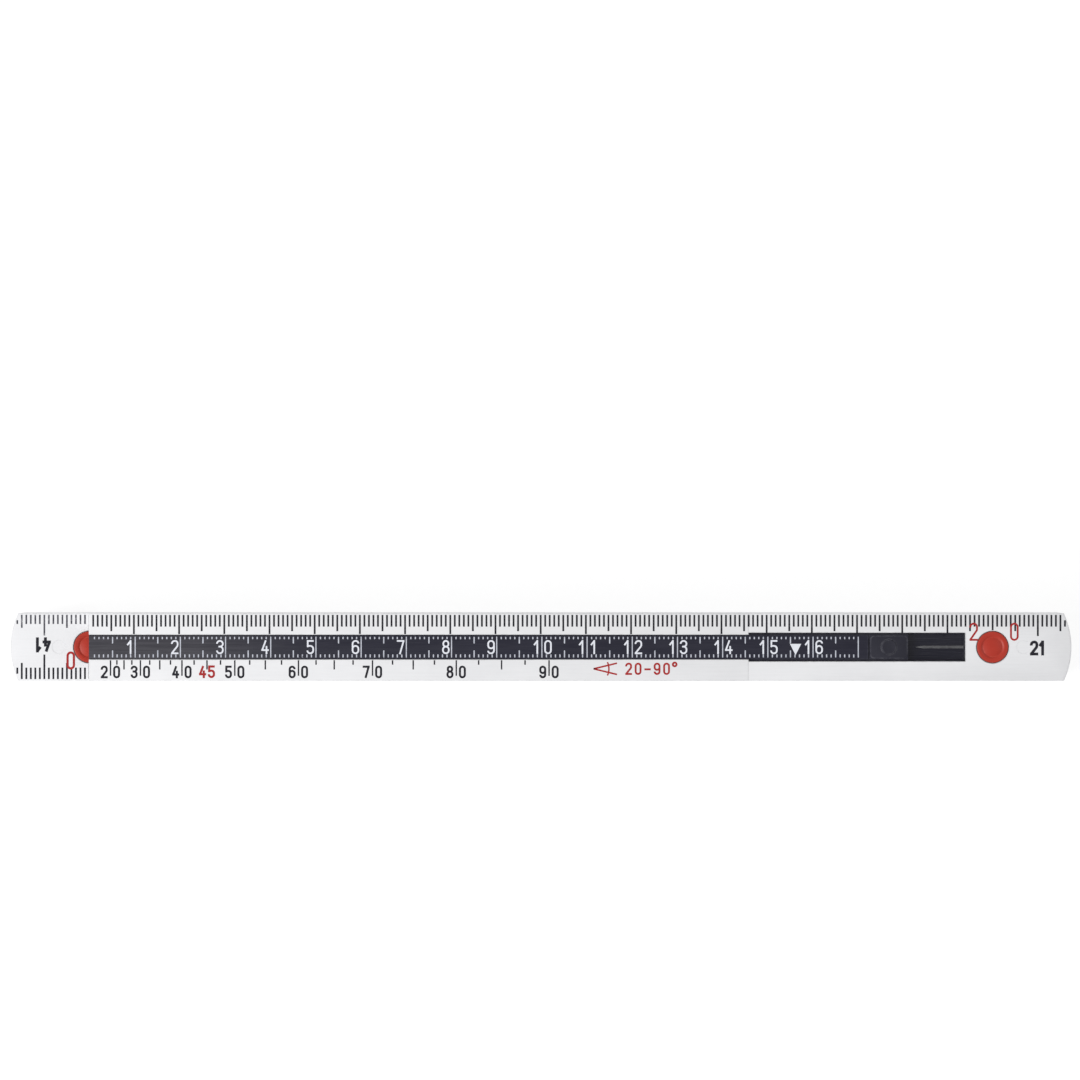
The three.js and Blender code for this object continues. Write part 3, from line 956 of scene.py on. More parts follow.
# %% [markdown]
# ## Wave springs
# The washer under each pivot is a flat ring, bent into three waves, which presses the leaves apart and
# lets them click. A flat ring is spun first. Then every point is lifted by a sine of its angle, which
# keeps the thickness even all round.

# %% Make the springs
SPRING_WAVES = 3
SPRING_THICKNESS = 0.25
for pivot in PIVOTS:
    spring_low, spring_high = (corner.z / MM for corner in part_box(f"click_spring_{pivot}"))
    wave = (spring_high - spring_low - SPRING_THICKNESS) / 2
    section = [
        (2.64, spring_low),
        (4.56, spring_low),
        (4.60, spring_low + 0.04),
        (4.60, spring_low + 0.21),
        (4.56, spring_low + SPRING_THICKNESS),
        (2.64, spring_low + SPRING_THICKNESS),
        (2.60, spring_low + 0.21),
        (2.60, spring_low + 0.04),
    ]
    ring = turned(section, pivot_x[pivot], steps=120)
    for point in ring.verts:
        turn = math.atan2(point.co.y, point.co.x - pivot_x[pivot])
        point.co.z += wave * (1 + math.sin(SPRING_WAVES * turn))
    finish_piece(
        f"click_spring_{pivot}_waved", ring, f"body_leaf_{pivot + 1:02d}", [spring_steel],
        [f"click_spring_{pivot}"],
    )
print("springs:", len(PIVOTS), "with a wave of", round(wave, 3), "mm")

# %% [markdown]
# ## The black bed and its rib
# A thin black strip lines the channel. Where the gauge has left it free there is a low pointed rib, which
# shows as a thin grey line: its paler black is a painted highlight for the light its ridge catches, with
# rubbed edges. The rib is an outline pulled up and bevelled along its top, and its foot stands a little way
# into the strip.


# %% Make the bed
def pulled_outline(corners, low, high):
    """A closed solid from an outline, pulled straight up."""
    work = bmesh.new()
    ring = [work.verts.new((x, y, low)) for x, y in corners]
    for pair in zip(ring, ring[1:] + ring[:1]):
        work.edges.new(pair)
    bmesh.ops.contextual_create(work, geom=work.edges[:])
    pull_up(work, high - low)
    bmesh.ops.recalc_face_normals(work, faces=work.faces)
    return work


bed_low, bed_high = (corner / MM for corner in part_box("gauge_guide"))
BED_THICKNESS = 0.35
bed_top = bed_low.z + BED_THICKNESS
bed = block((bed_low.x + SKIN, bed_low.y, bed_low.z), (bed_high.x, bed_high.y, bed_top))
round_edges(bed, rim_edges(bed, bed_top), 0.06, 2)
rib_end = bed_high.x - 0.3
rib = pulled_outline(
    [(rib_end - 10.7, 0.0), (rib_end - 9.1, -0.3), (rib_end, -0.3), (rib_end, 0.3), (rib_end - 9.1, 0.3)],
    bed_top - 0.05, bed_high.z,
)
round_edges(rib, rim_edges(rib, bed_high.z), 0.14, 3)
finish_piece("gauge_bed", bed, "body_leaf_01", [bed_plastic], ["gauge_guide"])
finish_piece("gauge_bed_rib", rib, "body_leaf_01", [rib_plastic])
print("bed:", round(bed_high.x - bed_low.x, 1), "mm long")

# %% [markdown]
# ## The depth gauge
# The gauge is a T-shaped slide: a wide flange runs under the rails and a narrower stem shows between them.
# Two blocks make it, with rounded edges, and a groove is cut across it before the thumb patch. Both blocks
# are rounded before they are joined, because then the edges to round are still easy to find.

# %% Make the gauge
gauge_low, gauge_high = (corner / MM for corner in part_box("depth_gauge"))
GAUGE_FACE = leaf_face[1] - 0.12
STEM_HALF = RAIL_SLOT_HALF - 0.1
THUMB_START = gauge_high.x - 8.5
FLANGE_TOP = RAIL_UNDERSIDE - 0.1
tip_end = gauge_low.x + SKIN
flange = block((tip_end, gauge_low.y, gauge_low.z), (gauge_high.x, gauge_high.y, FLANGE_TOP))
stem = block((tip_end, -STEM_HALF, gauge_low.z + 0.3), (gauge_high.x, STEM_HALF, GAUGE_FACE - SKIN))
for shape, height in ((flange, FLANGE_TOP), (stem, GAUGE_FACE - SKIN)):
    round_edges(shape, rim_edges(shape, height), 0.1, 2)
gauge = combine(stem, flange, "UNION")
groove = block((THUMB_START - 0.35, -6.0, GAUGE_FACE - 0.3), (THUMB_START, 6.0, GAUGE_FACE + 1.0))
gauge = combine(gauge, groove, "DIFFERENCE")
finish_piece("depth_gauge_slide", gauge, "body_gauge", [gauge_plastic], ["depth_gauge"])
print("gauge:", round(gauge_high.x - gauge_low.x, 1), "mm long")

# %% [markdown]
# ## The thumb patch
# The thumb pushes the gauge on a pad with round corners and a raised disc in the middle. The mould is
# eroded there, so the pad is coarse and does not slip. It is made as a thin shape of its own that stands
# in the gauge, which gives it its own coarser finish with no mask to paint.

# %% Make the thumb patch
PATCH_HALF = STEM_HALF - 0.12
PATCH_FOOT = GAUGE_FACE - 0.2
PATCH_TOP = GAUGE_FACE + 0.01
patch = block(
    (THUMB_START + 0.15, -PATCH_HALF, PATCH_FOOT),
    (gauge_high.x - 0.12, PATCH_HALF, PATCH_TOP),
)
upright = [e for e in patch.edges if abs(e.verts[0].co.z - e.verts[1].co.z) > 0.1]
round_edges(patch, upright, 0.8, 6)
round_edges(patch, rim_edges(patch, PATCH_TOP), 0.025, 2)
DISC_RADIUS = 1.76
disc_x = gauge_high.x - 4.25
disc_top = GAUGE_FACE + 0.2
disc = turned(
    [
        (0.0, disc_top - 0.07),
        (1.1, disc_top - 0.06),
        (1.38, disc_top),
        (1.55, disc_top - 0.01),
        (1.74, disc_top - 0.18),
        (DISC_RADIUS, PATCH_FOOT),
        (0.0, PATCH_FOOT),
    ],
    disc_x, steps=64,
)
patch = combine(patch, disc, "UNION")
finish_piece("gauge_thumb_patch", patch, "body_gauge", [thumb_plastic])
print("thumb patch with a disc", round(2 * DISC_RADIUS, 1), "mm across")

# %% [markdown]
# ## Flat shapes of ink
# All printing is drawn as flat shapes on a sheet, with u to the right and v up, in millimetres. A figure
# on a scale is drawn by a pen of even width, so the helper pulls a short edge, the pen, along straights
# and swings it round corners with spin. A text object would bring a typeface of its own. The pen gives the
# plain rounded figures that scales have, in any height and stroke.


# %% Helpers: bar, pen stroke, filled shape
def bar(sheet, u, v, width, height, lift=0.0):
    place = Matrix.Translation((u, v, lift)) @ Matrix.Diagonal((width, height, 1.0, 1.0))
    bmesh.ops.create_grid(sheet, x_segments=1, y_segments=1, size=0.5, matrix=place)


def drag(sheet, pen, step, centre, angle, steps):
    moved = bmesh.ops.spin(
        sheet, geom=pen, cent=centre, axis=(0.0, 0.0, 1.0), dvec=step, angle=angle, steps=steps
    )
    return moved["geom_last"]


def pen_stroke(sheet, points, width, corner=0.0, lift=0.0):
    """A line of even width through the points, with its corners swung round at the given radius."""
    path = [Vector((u, v, lift)) for u, v in points]
    legs = [after - before for before, after in zip(path, path[1:])]
    turns, trims = [], []
    for index, (before, after) in enumerate(zip(legs, legs[1:])):
        turn = math.atan2(before.cross(after).z, before.dot(after))
        room_before = before.length * (1.0 if index == 0 else 0.5)
        room_after = after.length * (1.0 if index == len(legs) - 2 else 0.5)
        trim = min(corner * math.tan(abs(turn) / 2), room_before, room_after)
        turns.append(turn)
        trims.append(trim)
    across = Vector((-legs[0].y, legs[0].x, 0.0)).normalized() * width / 2
    ends = [sheet.verts.new(path[0] + across), sheet.verts.new(path[0] - across)]
    pen = [*ends, sheet.edges.new(ends)]
    for index, leg in enumerate(legs):
        before = trims[index - 1] if index > 0 else 0.0
        after = trims[index] if index < len(trims) else 0.0
        straight = leg.length - before - after
        heading = leg.normalized()
        if straight > 1e-4:
            pen = drag(sheet, pen, heading * straight, (0.0, 0.0, 0.0), 0.0, 1)
        if index < len(turns) and abs(turns[index]) > 1e-3:
            radius = after / math.tan(abs(turns[index]) / 2)
            left = Vector((-heading.y, heading.x, 0.0))
            here = path[index + 1] - heading * after
            centre = here + left * math.copysign(radius, turns[index])
            steps = max(2, round(abs(turns[index]) * 3))
            pen = drag(sheet, pen, (0.0, 0.0, 0.0), centre, turns[index], steps)
    return pen


def filled(sheet, points, lift=0.0):
    corners = [sheet.verts.new((u, v, lift)) for u, v in points]
    edges = [sheet.edges.new(pair) for pair in zip(corners, corners[1:] + corners[:1])]
    bmesh.ops.contextual_create(sheet, geom=edges)


def ring_of_ink(sheet, u, v, radius, width, lift=0.0, angle=2 * math.pi, start=0.0):
    ends = []
    for reach in (radius - width / 2, radius + width / 2):
        ends.append(sheet.verts.new((u + reach * math.cos(start), v + reach * math.sin(start), lift)))
    full = angle == 2 * math.pi
    bmesh.ops.spin(
        sheet, geom=[*ends, sheet.edges.new(ends)], cent=(u, v, lift), axis=(0.0, 0.0, 1.0),
        angle=angle, steps=max(8, round(abs(angle) * 8)), use_merge=full,
    )


print("ink can be drawn as bars, strokes, rings and filled shapes")

# %% [markdown]
# ## Figures
# Each figure is a few strokes in a box one wide and one high. Corners are rounded as far as the stroke has
# room, so a nought becomes two half circles with straights between them. Strokes that start or end square
# to the box reach half a stroke further, to fill the figure's full height. Strokes that cross lie a few
# thousandths of a millimetre over each other, because two faces in one plane would flicker.

# %% Figures and writing
FIGURES = {
    "0": [[(0, 0.5), (0, 1), (1, 1), (1, 0), (0, 0), (0, 0.5)]],
    "1": [[(0.68, 0), (0.68, 1)], [(0.12, 0.66), (0.66, 0.99)]],
    "2": [[(0, 0.82), (0, 1), (1, 1), (1, 0.6), (0.02, 0.02)], [(0.02, 0), (1, 0)]],
    "3": [
        [(0, 0.84), (0, 1), (1, 1), (1, 0.54), (0.4, 0.54)],
        [(0.4, 0.54), (1, 0.54), (1, 0), (0, 0), (0, 0.16)],
    ],
    "4": [[(0.62, 1.05), (0, 0.26)], [(0, 0.26), (1, 0.26)], [(0.74, 0.52), (0.74, 0)]],
    "5": [
        [(0.94, 1), (0.06, 1)],
        [(0.06, 1), (0.06, 0.56)],
        [(0.06, 0.6), (1, 0.6), (1, 0), (0, 0), (0, 0.16)],
    ],
    "6": [[(0, 0.3), (0, 0.6), (1, 0.6), (1, 0), (0, 0), (0, 0.3)], [(0, 0.34), (0, 1), (1, 1), (1, 0.86)]],
    "7": [[(0, 1), (1, 1)], [(1, 1), (0.36, -0.07)]],
    "8": [
        [(0.06, 0.76), (0.06, 1), (0.94, 1), (0.94, 0.54), (0.06, 0.54), (0.06, 0.76)],
        [(0, 0.27), (0, 0.54), (1, 0.54), (1, 0), (0, 0), (0, 0.27)],
    ],
    "9": [[(1, 0.7), (1, 0.4), (0, 0.4), (0, 1), (1, 1), (1, 0.7)], [(1, 0.66), (1, 0), (0, 0), (0, 0.14)]],
    "m": [
        [(0, 0), (0, 0.64)],
        [(0, 0.4), (0, 0.64), (0.5, 0.64), (0.5, 0)],
        [(0.5, 0.4), (0.5, 0.64), (1, 0.64), (1, 0)],
    ],
    "-": [[(0.05, 0.45), (0.95, 0.45)]],
}


def figure(sheet, letter, u, v, height, width, stroke, lift=0.0, turn=0.0):
    """One figure with its middle at u, v. The height and width are those of the ink."""
    loose = bmesh.new()
    tall, wide = height - stroke, width - stroke
    for level, points in enumerate(FIGURES[letter]):
        line = [Vector(((x - 0.5) * wide, (y - 0.5) * tall)) for x, y in points]
        if points[0] != points[-1]:
            for end, beside in ((0, 1), (-1, -2)):
                out = (line[end] - line[beside]).normalized()
                if max(abs(out.x), abs(out.y)) > 0.999:
                    line[end] = line[end] + out * stroke / 2
        pen_stroke(loose, line, stroke, corner=wide / 2, lift=lift + 0.002 * level)
    bmesh.ops.rotate(loose, verts=loose.verts, cent=(0.0, 0.0, 0.0), matrix=Matrix.Rotation(turn, 3, "Z"))
    bmesh.ops.translate(loose, verts=loose.verts, vec=(u, v, 0.0))
    add_shape(sheet, loose)


def write(sheet, text, u, v, height, width, stroke, pitch, lift=0.0, turn=0.0):
    """A row of figures with its middle at u, v. Figures stand a little closer to a slim 1."""
    steps = [pitch * (0.86 if "1" in pair else 1.0) for pair in zip(text, text[1:])]
    for index, letter in enumerate(text):
        along = sum(steps[:index]) - sum(steps) / 2
        place = (u + along * math.cos(turn), v + along * math.sin(turn))
        if letter == "°":
            u_ring, v_ring = place[0] - 0.2 * width, place[1] + 0.36 * height
            ring_of_ink(sheet, u_ring, v_ring, 0.15 * height, stroke, lift)
        elif letter != " ":
            figure(sheet, letter, *place, height, width, stroke, lift, turn)


print("figures:", " ".join(FIGURES))

# %% [markdown]
# ## From sheet to ink on the plastic
# A finished sheet is pulled up to a layer about a hundredth of a millimetre thick, so that every mark is a
# closed solid. It is then laid on its face: the place matrix says where the sheet's origin lies and which
# way u, v and up run. The layer is sunk a little into the plastic, so no light gets under it.


# %% Helper: lay ink on a face
INK_SUNK = 0.004
INK_PROUD = 0.007


def face_place(origin, u_way, v_way):
    up_way = Vector(u_way).cross(Vector(v_way))
    turned_axes = Matrix((u_way, v_way, up_way)).transposed().to_4x4()
    return Matrix.Translation(origin) @ turned_axes


def print_sheet(name, sheet, place, material, body):
    if not sheet.faces:
        sheet.free()
        return None
    bmesh.ops.remove_doubles(sheet, verts=sheet.verts, dist=1e-4)
    bmesh.ops.translate(sheet, verts=sheet.verts, vec=(0.0, 0.0, -INK_SUNK))
    pull_up(sheet, INK_SUNK + INK_PROUD)
    bmesh.ops.transform(sheet, matrix=place, verts=sheet.verts)
    return finish_piece(name, sheet, body, [material])


print("a layer of ink stands", INK_PROUD, "mm proud")

# %% [markdown]
# ## The centimetre scale of a leaf
# Every millimetre has a tick, every fifth a longer one, and every centimetre the longest. The ticks start
# just inside the rim. On the round end they start where the arc lets them. One function draws the ticks of
# one edge, so that all faces share the same spacing and only the lengths differ.


# %% Helpers: ticks and numbers
RIM_MARGIN = 0.35
ARC_MARGIN = 1.1
FAR_ON_ARC = 15.5
SEAT_GAP = 0.12
SHORTEST_TICK = 0.3


def tick_length(value, lengths):
    """The lengths are those of a single tick, of every fifth and of every tenth."""
    return lengths[2] if value % 10 == 0 else lengths[1] if value % 5 == 0 else lengths[0]


def edge_ticks(sheet, first, last, lengths, side, width=0.37, step_at=None, closed_end=200.0):
    """Ticks from first to last millimetre along the edge on that side (+1 above, -1 below)."""
    for millimetre in range(first, last + 1):
        rim = HALF_WIDTH - RIM_MARGIN
        beyond = millimetre - closed_end
        if beyond > 0:
            reach = END_RADIUS**2 - beyond**2
            margin = ARC_MARGIN if beyond > FAR_ON_ARC else RIM_MARGIN
            rim = min(rim, math.sqrt(max(reach, 0.0)) - margin)
        length = tick_length(millimetre, lengths)
        if millimetre == closed_end:
            length = min(length, HALF_WIDTH - RIM_MARGIN - SEAT_RADIUS - SEAT_GAP)
        inner = HALF_WIDTH - RIM_MARGIN - length
        if rim - inner < SHORTEST_TICK:
            continue
        lift = RAIL_RISE if step_at and millimetre < step_at else 0.0
        bar(sheet, millimetre, side * (rim + inner) / 2, width, rim - inner, lift)


def far_pair(sheet, value, lift, stroke, shift=(0.0, 0.0)):
    """The big red figures on both sides of the far pivot. The shift is how far the printing is off."""
    text = str(value)
    for index, letter in enumerate(text):
        along = 4.8 if index == len(text) - 1 else -4.2 - 2.4 * (len(text) - 2 - index)
        figure(sheet, letter, 200 + along + shift[0], 3.4 + shift[1], 4.0, 1.9, stroke, lift)


print("ticks start", RIM_MARGIN, "mm inside the rim")

# %% [markdown]
# ## Print all faces
# A rule reads on from leaf to leaf: each face starts at the value that the last one ended with. So the
# faces of even leaves are turned half round. Whole tens of centimetres are red. The scale along one edge
# has rubbed more than the other, so it gets the paler ink. The undersides run from 0 to 200 cm the other
# way.

# %% Print leaves 2 to 10 and all undersides
NUMBER = {"height": 3.35, "width": 1.85, "stroke": 0.64, "pitch": 2.15}


def print_face(label, start_value, origin, u_way, v_way, body, round_far):
    place = face_place(origin, u_way, v_way)
    crisp, worn, black, red = bmesh.new(), bmesh.new(), bmesh.new(), bmesh.new()
    last = 216 if round_far else 199
    edge_ticks(crisp, 9, last, (2.55, 3.6, 5.45), 1, 0.42)
    edge_ticks(worn, 9, last, (2.05, 2.9, 4.6), -1)
    for centimetre in range(1, 22 if round_far else 20):
        if centimetre == 20:
            continue
        value = start_value + centimetre
        target = red if value % 10 == 0 else black
        place_along = 10 * centimetre + (0.4 if centimetre == 21 else 0.0)
        write(target, str(value), place_along, -0.45, lift=0.006, **NUMBER)
    if round_far:
        far_pair(red, start_value + 20, 0.006, 0.5, (-0.65, -0.4))
    print_sheet(f"{label}_ticks", crisp, place, black_ink, body)
    print_sheet(f"{label}_ticks_rubbed", worn, place, rubbed_ink, body)
    print_sheet(f"{label}_numbers", black, place, black_ink, body)
    print_sheet(f"{label}_tens", red, place, red_ink, body)


for leaf in LEAVES:
    body = f"body_leaf_{leaf:02d}"
    way = 1.0 if leaf % 2 else -1.0
    if leaf > 1:
        height = leaf_face[leaf] - SKIN
        print_face(
            f"leaf_{leaf:02d}_face", 20 * (leaf - 1), (-100.0 * way, 0.0, height),
            (way, 0.0, 0.0), (0.0, way, 0.0), body, leaf < len(LEAVES),
        )
    order = len(LEAVES) + 1 - leaf
    under_way = 1.0 if order % 2 else -1.0
    height = leaf_low[leaf] + SKIN
    print_face(
        f"leaf_{leaf:02d}_underside", 20 * (order - 1), (-100.0 * under_way, 0.0, height),
        (under_way, 0.0, 0.0), (0.0, -under_way, 0.0), body, leaf > 1,
    )
print("printed faces:", 2 * len(LEAVES) - 1)

# %% [markdown]
# ## The top face
# The first leaf has a centimetre scale along one edge only. Its numbers stand on the gauge, and only 20
# and 21 are on the leaf itself. The railed part of the face is a hair higher, so its ticks are lifted with
# it. An extra bar makes the tick at 21 a little longer.

# %% Print the centimetre scale of leaf 1
top_place = face_place((SQUARE_END, 0.0, top_face), (1.0, 0.0, 0.0), (0.0, 1.0, 0.0))
top_ticks, top_black, top_red = bmesh.new(), bmesh.new(), bmesh.new()
edge_ticks(top_ticks, 1, 216, (2.6, 3.6, 4.25), 1, 0.41, RAIL_END - SQUARE_END)
bar(top_ticks, 210, 2.7, 0.41, 0.5)
write(top_black, "21", 210.0, -0.2, 3.28, 1.85, 0.62, 1.95, 0.006)
far_pair(top_red, 20, 0.006, 0.42)
print_sheet("leaf_01_ticks", top_ticks, top_place, black_ink, "body_leaf_01")
print_sheet("leaf_01_numbers", top_black, top_place, black_ink, "body_leaf_01")
print_sheet("leaf_01_tens", top_red, top_place, red_ink, "body_leaf_01")
print("the top face is printed up to 21.6 cm")

# %% [markdown]
# ## The angle scale
# With the gauge's tip clicked to the third leaf, leaf 2, leaf 3 and the line of the gauge make a triangle.
# The scale shows how many degrees leaf 3 is turned from straight on with leaf 2. The law of cosines gives
# the gauge's place for each of these angles, so the ticks are not evenly spaced. Every ten degrees have a
# number that straddles its tick.

# %% Print the angle scale
ARROW_AT = 156.6
LEAF_REACH = 200.0
CLICK_REACH = 156.0
CATCH_FROM_TIP = 1.1


def place_of_angle(degrees):
    far_side = math.sqrt(
        LEAF_REACH**2 + CLICK_REACH**2 + 2 * LEAF_REACH * CLICK_REACH * math.cos(math.radians(degrees))
    )
    return ARROW_AT - (far_side + CATCH_FROM_TIP - LEAF_REACH)


angle_black, angle_red = bmesh.new(), bmesh.new()
for half_step in range(8, 37):
    degrees = 2.5 * half_step
    length = tick_length(degrees, (1.0, 2.05, 3.45))
    bar(angle_black, place_of_angle(degrees), -2.9 - length / 2, 0.32, length, RAIL_RISE)
    if degrees % 10 == 0:
        for letter, side in zip(str(int(degrees)), (-1.4, 1.35)):
            here = place_of_angle(degrees) + side
            figure(angle_black, letter, here, -5.5, 2.8, 1.55, 0.47, RAIL_RISE + 0.004)
write(angle_red, "45", place_of_angle(45), -5.45, 2.8, 1.6, 0.48, 1.95, RAIL_RISE + 0.008)
apex = (111.7, -4.8)
for rise in (-1.25, 1.25):
    pen_stroke(angle_red, [apex, (116.9, apex[1] + rise)], 0.36, lift=RAIL_RISE + 0.004)
ring_of_ink(angle_red, *apex, 3.4, 0.32, RAIL_RISE + 0.008, angle=0.9, start=-0.45)
write(angle_red, "20-90°", 124.7, -4.8, 2.7, 1.5, 0.42, 2.1, RAIL_RISE + 0.004)
print_sheet("angle_scale", angle_black, top_place, black_ink, "body_leaf_01")
print_sheet("angle_scale_red", angle_red, top_place, red_ink, "body_leaf_01")
print("90 degrees stand at", round(place_of_angle(90), 1), "mm")

# %% [markdown]
# ## White marks on the gauge
# The depth scale is white on black: ticks along both edges, a long line at each centimetre, and the
# numbers 1 to 16. Single figures stand just before their line, and double ones straddle it. A small
# triangle is the pointer that reads the angle scale. The ticks are a greyer white than the numbers,
# because they rub under the rails.

# %% Print the gauge
gauge_place = face_place((SQUARE_END, 0.0, GAUGE_FACE - SKIN), (1.0, 0.0, 0.0), (0.0, 1.0, 0.0))
gauge_ticks, gauge_numbers = bmesh.new(), bmesh.new()
PRINT_SHIFT = 0.27
GAUGE_FIGURE = {"height": 3.1, "width": 1.65, "stroke": 0.36, "lift": 0.004}
for millimetre in range(1, 171):
    place = millimetre + PRINT_SHIFT
    if millimetre % 10 == 0:
        bar(gauge_ticks, place, 0.0, 0.24, 4.6)
        continue
    above, below = (1.45, 1.55) if millimetre % 5 == 0 else (0.5, 0.66)
    bar(gauge_ticks, place, 2.26 - above / 2, 0.26, above)
    bar(gauge_ticks, place, -2.28 + below / 2, 0.26, below)
for centimetre in range(1, 17):
    line = 10 * centimetre + PRINT_SHIFT
    if centimetre < 10:
        figure(gauge_numbers, str(centimetre), line - 1.25, 0.0, **GAUGE_FIGURE)
    else:
        for letter, side in zip(str(centimetre), (-1.25, 1.35)):
            figure(gauge_numbers, letter, line + side, 0.0, **GAUGE_FIGURE)
filled(gauge_numbers, [(155.15, 0.72), (156.4, -1.75), (157.65, 0.72)], 0.008)
print_sheet("gauge_ticks", gauge_ticks, gauge_place, grey_ink, "body_gauge")
print_sheet("gauge_numbers", gauge_numbers, gauge_place, white_ink, "body_gauge")
print("the gauge reads to 17 cm")

# %% [markdown]
# ## Pictures on the folded edges
# The long edges of the folded leaves together make a panel for pictures of what the rule does. Each
# picture is drawn once on a sheet across all ten leaves. The sheet is then cut into ten strips, and each
# strip is printed on its own leaf, so the pictures come apart when the rule is opened, as they do on a
# real one. The first picture is an open rule in zigzag with one marked pivot.

# %% Draw the open rule
edge_black, edge_red, edge_white = bmesh.new(), bmesh.new(), bmesh.new()


def open_bar(sheet, start, end, half, width):
    """The outline of one leaf from start to end, seen from above, with round ends."""
    (u0, v0), (u1, v1) = start, end
    along = Vector((u1 - u0, v1 - v0)).normalized()
    out = Vector((-along.y, along.x)) * half
    past = along * half
    points = [
        (u0 + out.x, v0 + out.y),
        (u1 + out.x + past.x, v1 + out.y + past.y),
        (u1 - out.x + past.x, v1 - out.y + past.y),
        (u0 - out.x - past.x, v0 - out.y - past.y),
        (u0 + out.x - past.x, v0 + out.y - past.y),
        (u0 + out.x, v0 + out.y),
    ]
    pen_stroke(sheet, points, width, corner=half)


ZIGZAG = [(-79.0, 9.5), (-72.0, 24.5), (-65.0, 9.5), (-58.0, 24.5), (-51.0, 9.5)]
for start_point, end_point in zip(ZIGZAG, ZIGZAG[1:]):
    open_bar(edge_black, start_point, end_point, 1.9, 0.65)
for u, v in ZIGZAG:
    ring_of_ink(edge_black, u, v, 0.75, 0.5, 0.004)
ring_of_ink(edge_red, -65.0, 9.5, 0.55, 1.1, 0.008)
print("the open rule has", len(ZIGZAG) - 1, "leaves")

# %% [markdown]
# ## How an angle is set
# The second picture shows how an angle is set: two leaves at sixty degrees and the gauge laid across them,
# with a red ring round the place where its tip clicks in. It is drawn with the same few helpers, bars,
# strokes and rings, because a picture of lines stays crisp at any size, where a painted one would blur.


# %% Draw how an angle is set
def frame_of_lines(sheet, left, low, right, high, width):
    for v in (low, high):
        bar(sheet, (left + right) / 2, v, right - left, width)
    for u in (left, right):
        bar(sheet, u, (low + high) / 2, width, high - low + width, 0.002)


def cross_ticks(sheet, start, end, count, length, width, side):
    """Short ticks square to a line, evenly spread along it."""
    a, b = Vector(start), Vector(end)
    along = (b - a).normalized()
    out = Vector((-along.y, along.x)) * side
    for index in range(1, count + 1):
        foot = a.lerp(b, index / (count + 1))
        reach = length * (1.6 if index % 2 == 0 else 1.0)
        pen_stroke(sheet, [foot, foot + out * reach], width, lift=0.004)


LINE = 0.24
ANGLE_FRAME = (-44.0, 4.8, -23.2, 27.8)
frame_of_lines(edge_black, *ANGLE_FRAME, LINE)
pen_stroke(edge_black, [(-43.9, 8.7), (-32.0, 8.7), (-32.0, 4.9)], LINE, lift=0.002)
cross_ticks(edge_black, (-44.0, 8.7), (-32.0, 8.7), 3, 0.8, LINE, -1)
cross_ticks(edge_black, (-44.0, 4.8), (-32.0, 4.8), 3, 0.8, LINE, 1)
for foot, tip, side in (((-35.4, 8.8), (-24.6, 27.7), -1), ((-32.0, 7.2), (-23.3, 22.3), 1)):
    pen_stroke(edge_black, [foot, tip], LINE, lift=0.002)
    cross_ticks(edge_black, foot, tip, 6, 0.7, LINE, side)
pen_stroke(edge_black, [(-43.9, 16.8), (-35.3, 19.0), (-34.3, 15.25), (-43.9, 12.75)], LINE, lift=0.002)
cross_ticks(edge_black, (-44.0, 16.8), (-35.3, 19.0), 3, 0.6, LINE, -1)
cross_ticks(edge_black, (-44.0, 12.75), (-34.3, 15.25), 3, 0.6, LINE, 1)
pen_stroke(edge_black, [(-43.9, 14.9), (-27.5, 18.95)], 0.9, lift=0.004)
arrow = [(-40.65, 14.75), (-39.95, 17.0), (-38.35, 15.35)]
filled(edge_white, arrow, 0.006)
for start, end in zip(arrow, arrow[1:] + arrow[:1]):
    pen_stroke(edge_black, [start, end], 0.2, lift=0.008)
CLICK_AT = Vector((-27.5, 18.9))
ring_of_ink(edge_red, *CLICK_AT, 1.35, 0.36, 0.010)
ring_of_ink(edge_white, *CLICK_AT, 0.5, 0.22, 0.010)
for quarter in range(4):
    turn = math.radians(60 + 90 * quarter)
    way = Vector((math.cos(turn), math.sin(turn)))
    pen_stroke(edge_red, [CLICK_AT + way * 1.0, CLICK_AT + way * 2.0], 0.3, lift=0.012)
ring_of_ink(edge_red, -32.2, 6.8, 8.4, 0.34, 0.008, angle=math.radians(60), start=0.0)
for index in range(5):
    bar(edge_red, -31.3 + 1.65 * index, 6.8, 1.0, 0.3, 0.008)
write(edge_red, "60", -40.7, 20.1, 3.3, 2.0, 0.7, 2.4, 0.01, math.radians(10))
write(edge_red, "60°", -26.8, 9.6, 1.95, 1.2, 0.4, 1.4, 0.01)
print("the angle picture is", round(ANGLE_FRAME[2] - ANGLE_FRAME[0], 1), "mm wide")

# %% [markdown]
# ## The hand, the depth picture and the length
# A hand presses the tip to its mark. It is put together from spots and strokes, since a hand this small
# needs no more. The next picture shows the gauge pushed down into a hole. Beside it stand a row of plain
# bars, which stands for nothing, and the length of the rule.

# %% Draw the hand, the depth picture, the bars and the length
def spot(sheet, u, v, radius, lift):
    ring_of_ink(sheet, u, v, radius / 2, radius, lift)


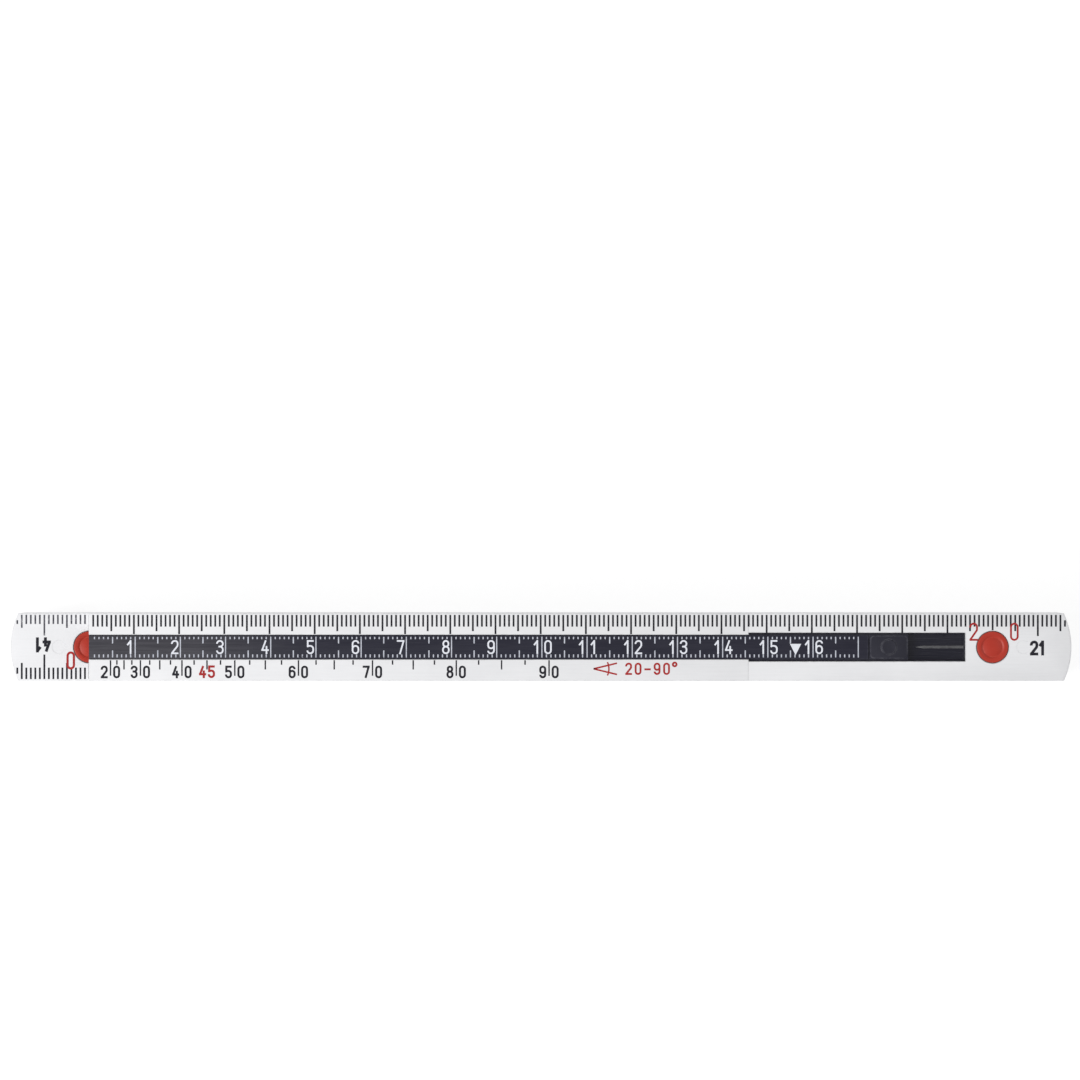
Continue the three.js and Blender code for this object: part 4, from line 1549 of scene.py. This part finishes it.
filled(edge_black, [(-33.1, 27.7), (-33.4, 24.4), (-30.6, 24.4), (-30.2, 27.7)], 0.005)
spot(edge_black, -32.2, 23.6, 2.1, 0.006)
for index, (u, v) in enumerate([(-34.2, 21.8), (-32.9, 21.0), (-31.4, 20.9)]):
    pen_stroke(edge_black, [(-32.2, 23.6), (u, v)], 1.2, lift=0.007 + 0.0005 * index)
    spot(edge_black, u, v, 0.62, 0.0085 + 0.0005 * index)
pen_stroke(edge_black, [(-31.4, 24.4), (-29.0, 21.9), (-27.3, 21.2)], 1.25, corner=0.9, lift=0.010)
spot(edge_black, -27.3, 21.2, 0.62, 0.011)
DEPTH_FRAME = (-19.65, 4.8, -9.4, 27.8)
frame_of_lines(edge_black, *DEPTH_FRAME, LINE)
for left, right, low, high in (
    (-19.65, -16.4, 4.8, 18.4),
    (-12.7, -9.4, 4.8, 18.4),
    (-16.4, -12.7, 4.8, 9.2),
):
    bar(edge_black, (left + right) / 2, (low + high) / 2, right - left, high - low, 0.004)
bar(edge_black, -14.55, 18.75, 2.1, 17.9, 0.002)
pen_stroke(edge_black, [(-17.5, 27.7), (-17.5, 18.85), (-15.7, 18.85)], 0.28, lift=0.006)
pen_stroke(edge_black, [(-11.6, 27.7), (-11.6, 18.85), (-13.4, 18.85)], 0.28, lift=0.006)
for v, letter in ((12.5, "1"), (16.5, "2"), (20.4, "3"), (24.2, "4")):
    figure(edge_white, letter, -14.55, v, 1.8, 1.15, 0.34, 0.008, math.radians(90))
for index in range(14):
    for u, side in ((-17.4, 1), (-11.7, -1)):
        length = 1.3 if index % 5 == 2 else 1.0
        bar(edge_black, u + side * length / 2, 19.6 + 0.58 * index, length, 0.24, 0.002)
bar(edge_red, -17.95, 14.3, 0.55, 7.6, 0.010)
filled(edge_red, [(-18.9, 11.0), (-17.95, 9.3), (-17.0, 11.0)], 0.012)
BARS_START, BARS_END = -4.3, 22.2
u = BARS_START
for index in range(34):
    thick = (0.3, 0.6, 0.3, 0.9)[(7 * index + index // 3) % 4]
    if u + thick < BARS_END:
        bar(edge_black, u + thick / 2, 13.5, thick, 9.8)
    u += thick + (0.35, 0.6, 0.35)[(5 * index) % 3]
figure(edge_black, "2", 43.0, 16.0, 12.0, 7.4, 2.1)
figure(edge_black, "m", 57.0, 16.0, 12.0, 11.5, 2.1)
print("flat shapes:", len(edge_black.faces), "black and", len(edge_red.faces), "red")

# %% [markdown]
# ## Cut the pictures into strips
# bisect_plane cuts a copy of the sheet along a leaf's lower and upper rim and clears what lies outside.
# What is left is one leaf's strip. It is done while the ink is still flat, since a flat shape has no
# inside to be closed again after the cut.


# %% Print the strips
def strip_of(sheet, low, high):
    strip = sheet.copy()
    for height, way in ((low, -1.0), (high, 1.0)):
        bmesh.ops.bisect_plane(
            strip, geom=strip.verts[:] + strip.edges[:] + strip.faces[:], dist=1e-5,
            plane_co=(0.0, height, 0.0), plane_no=(0.0, way, 0.0), clear_outer=True,
        )
    loose = [v for v in strip.verts if not v.link_faces]
    bmesh.ops.delete(strip, geom=loose, context="VERTS")
    return strip


STRIP_MARGIN = 0.075
strips = 0
edge_place = face_place((0.0, -HALF_WIDTH, 0.0), (1.0, 0.0, 0.0), (0.0, 0.0, 1.0))
for leaf in LEAVES:
    low = leaf_low[leaf] + SKIN + STRIP_MARGIN
    high = leaf_face[leaf] - SKIN - (OUTER_RIM if leaf == 1 else STRIP_MARGIN)
    for label, sheet, material, slot in (
        ("black", edge_black, black_ink, "black_ink"),
        ("red", edge_red, red_ink, "red_ink"),
        ("white", edge_white, white_ink, "white_ink"),
    ):
        strip = strip_of(sheet, low, high)
        name = f"leaf_{leaf:02d}_edge_{label}"
        made = print_sheet(name, strip, edge_place, material, f"body_leaf_{leaf:02d}")
        strips += made is not None
for sheet in (edge_black, edge_red, edge_white):
    sheet.free()
print("edge strips:", strips)

# %% [markdown]
# ## Measure and finish
# The finer pieces must not be bigger than the frame's. The last cell prints the size of the frame's box,
# in millimetres.

# %% The frame's box
print("frame box", [round(c / MM, 2) for c in cad_high - cad_low], "mm")
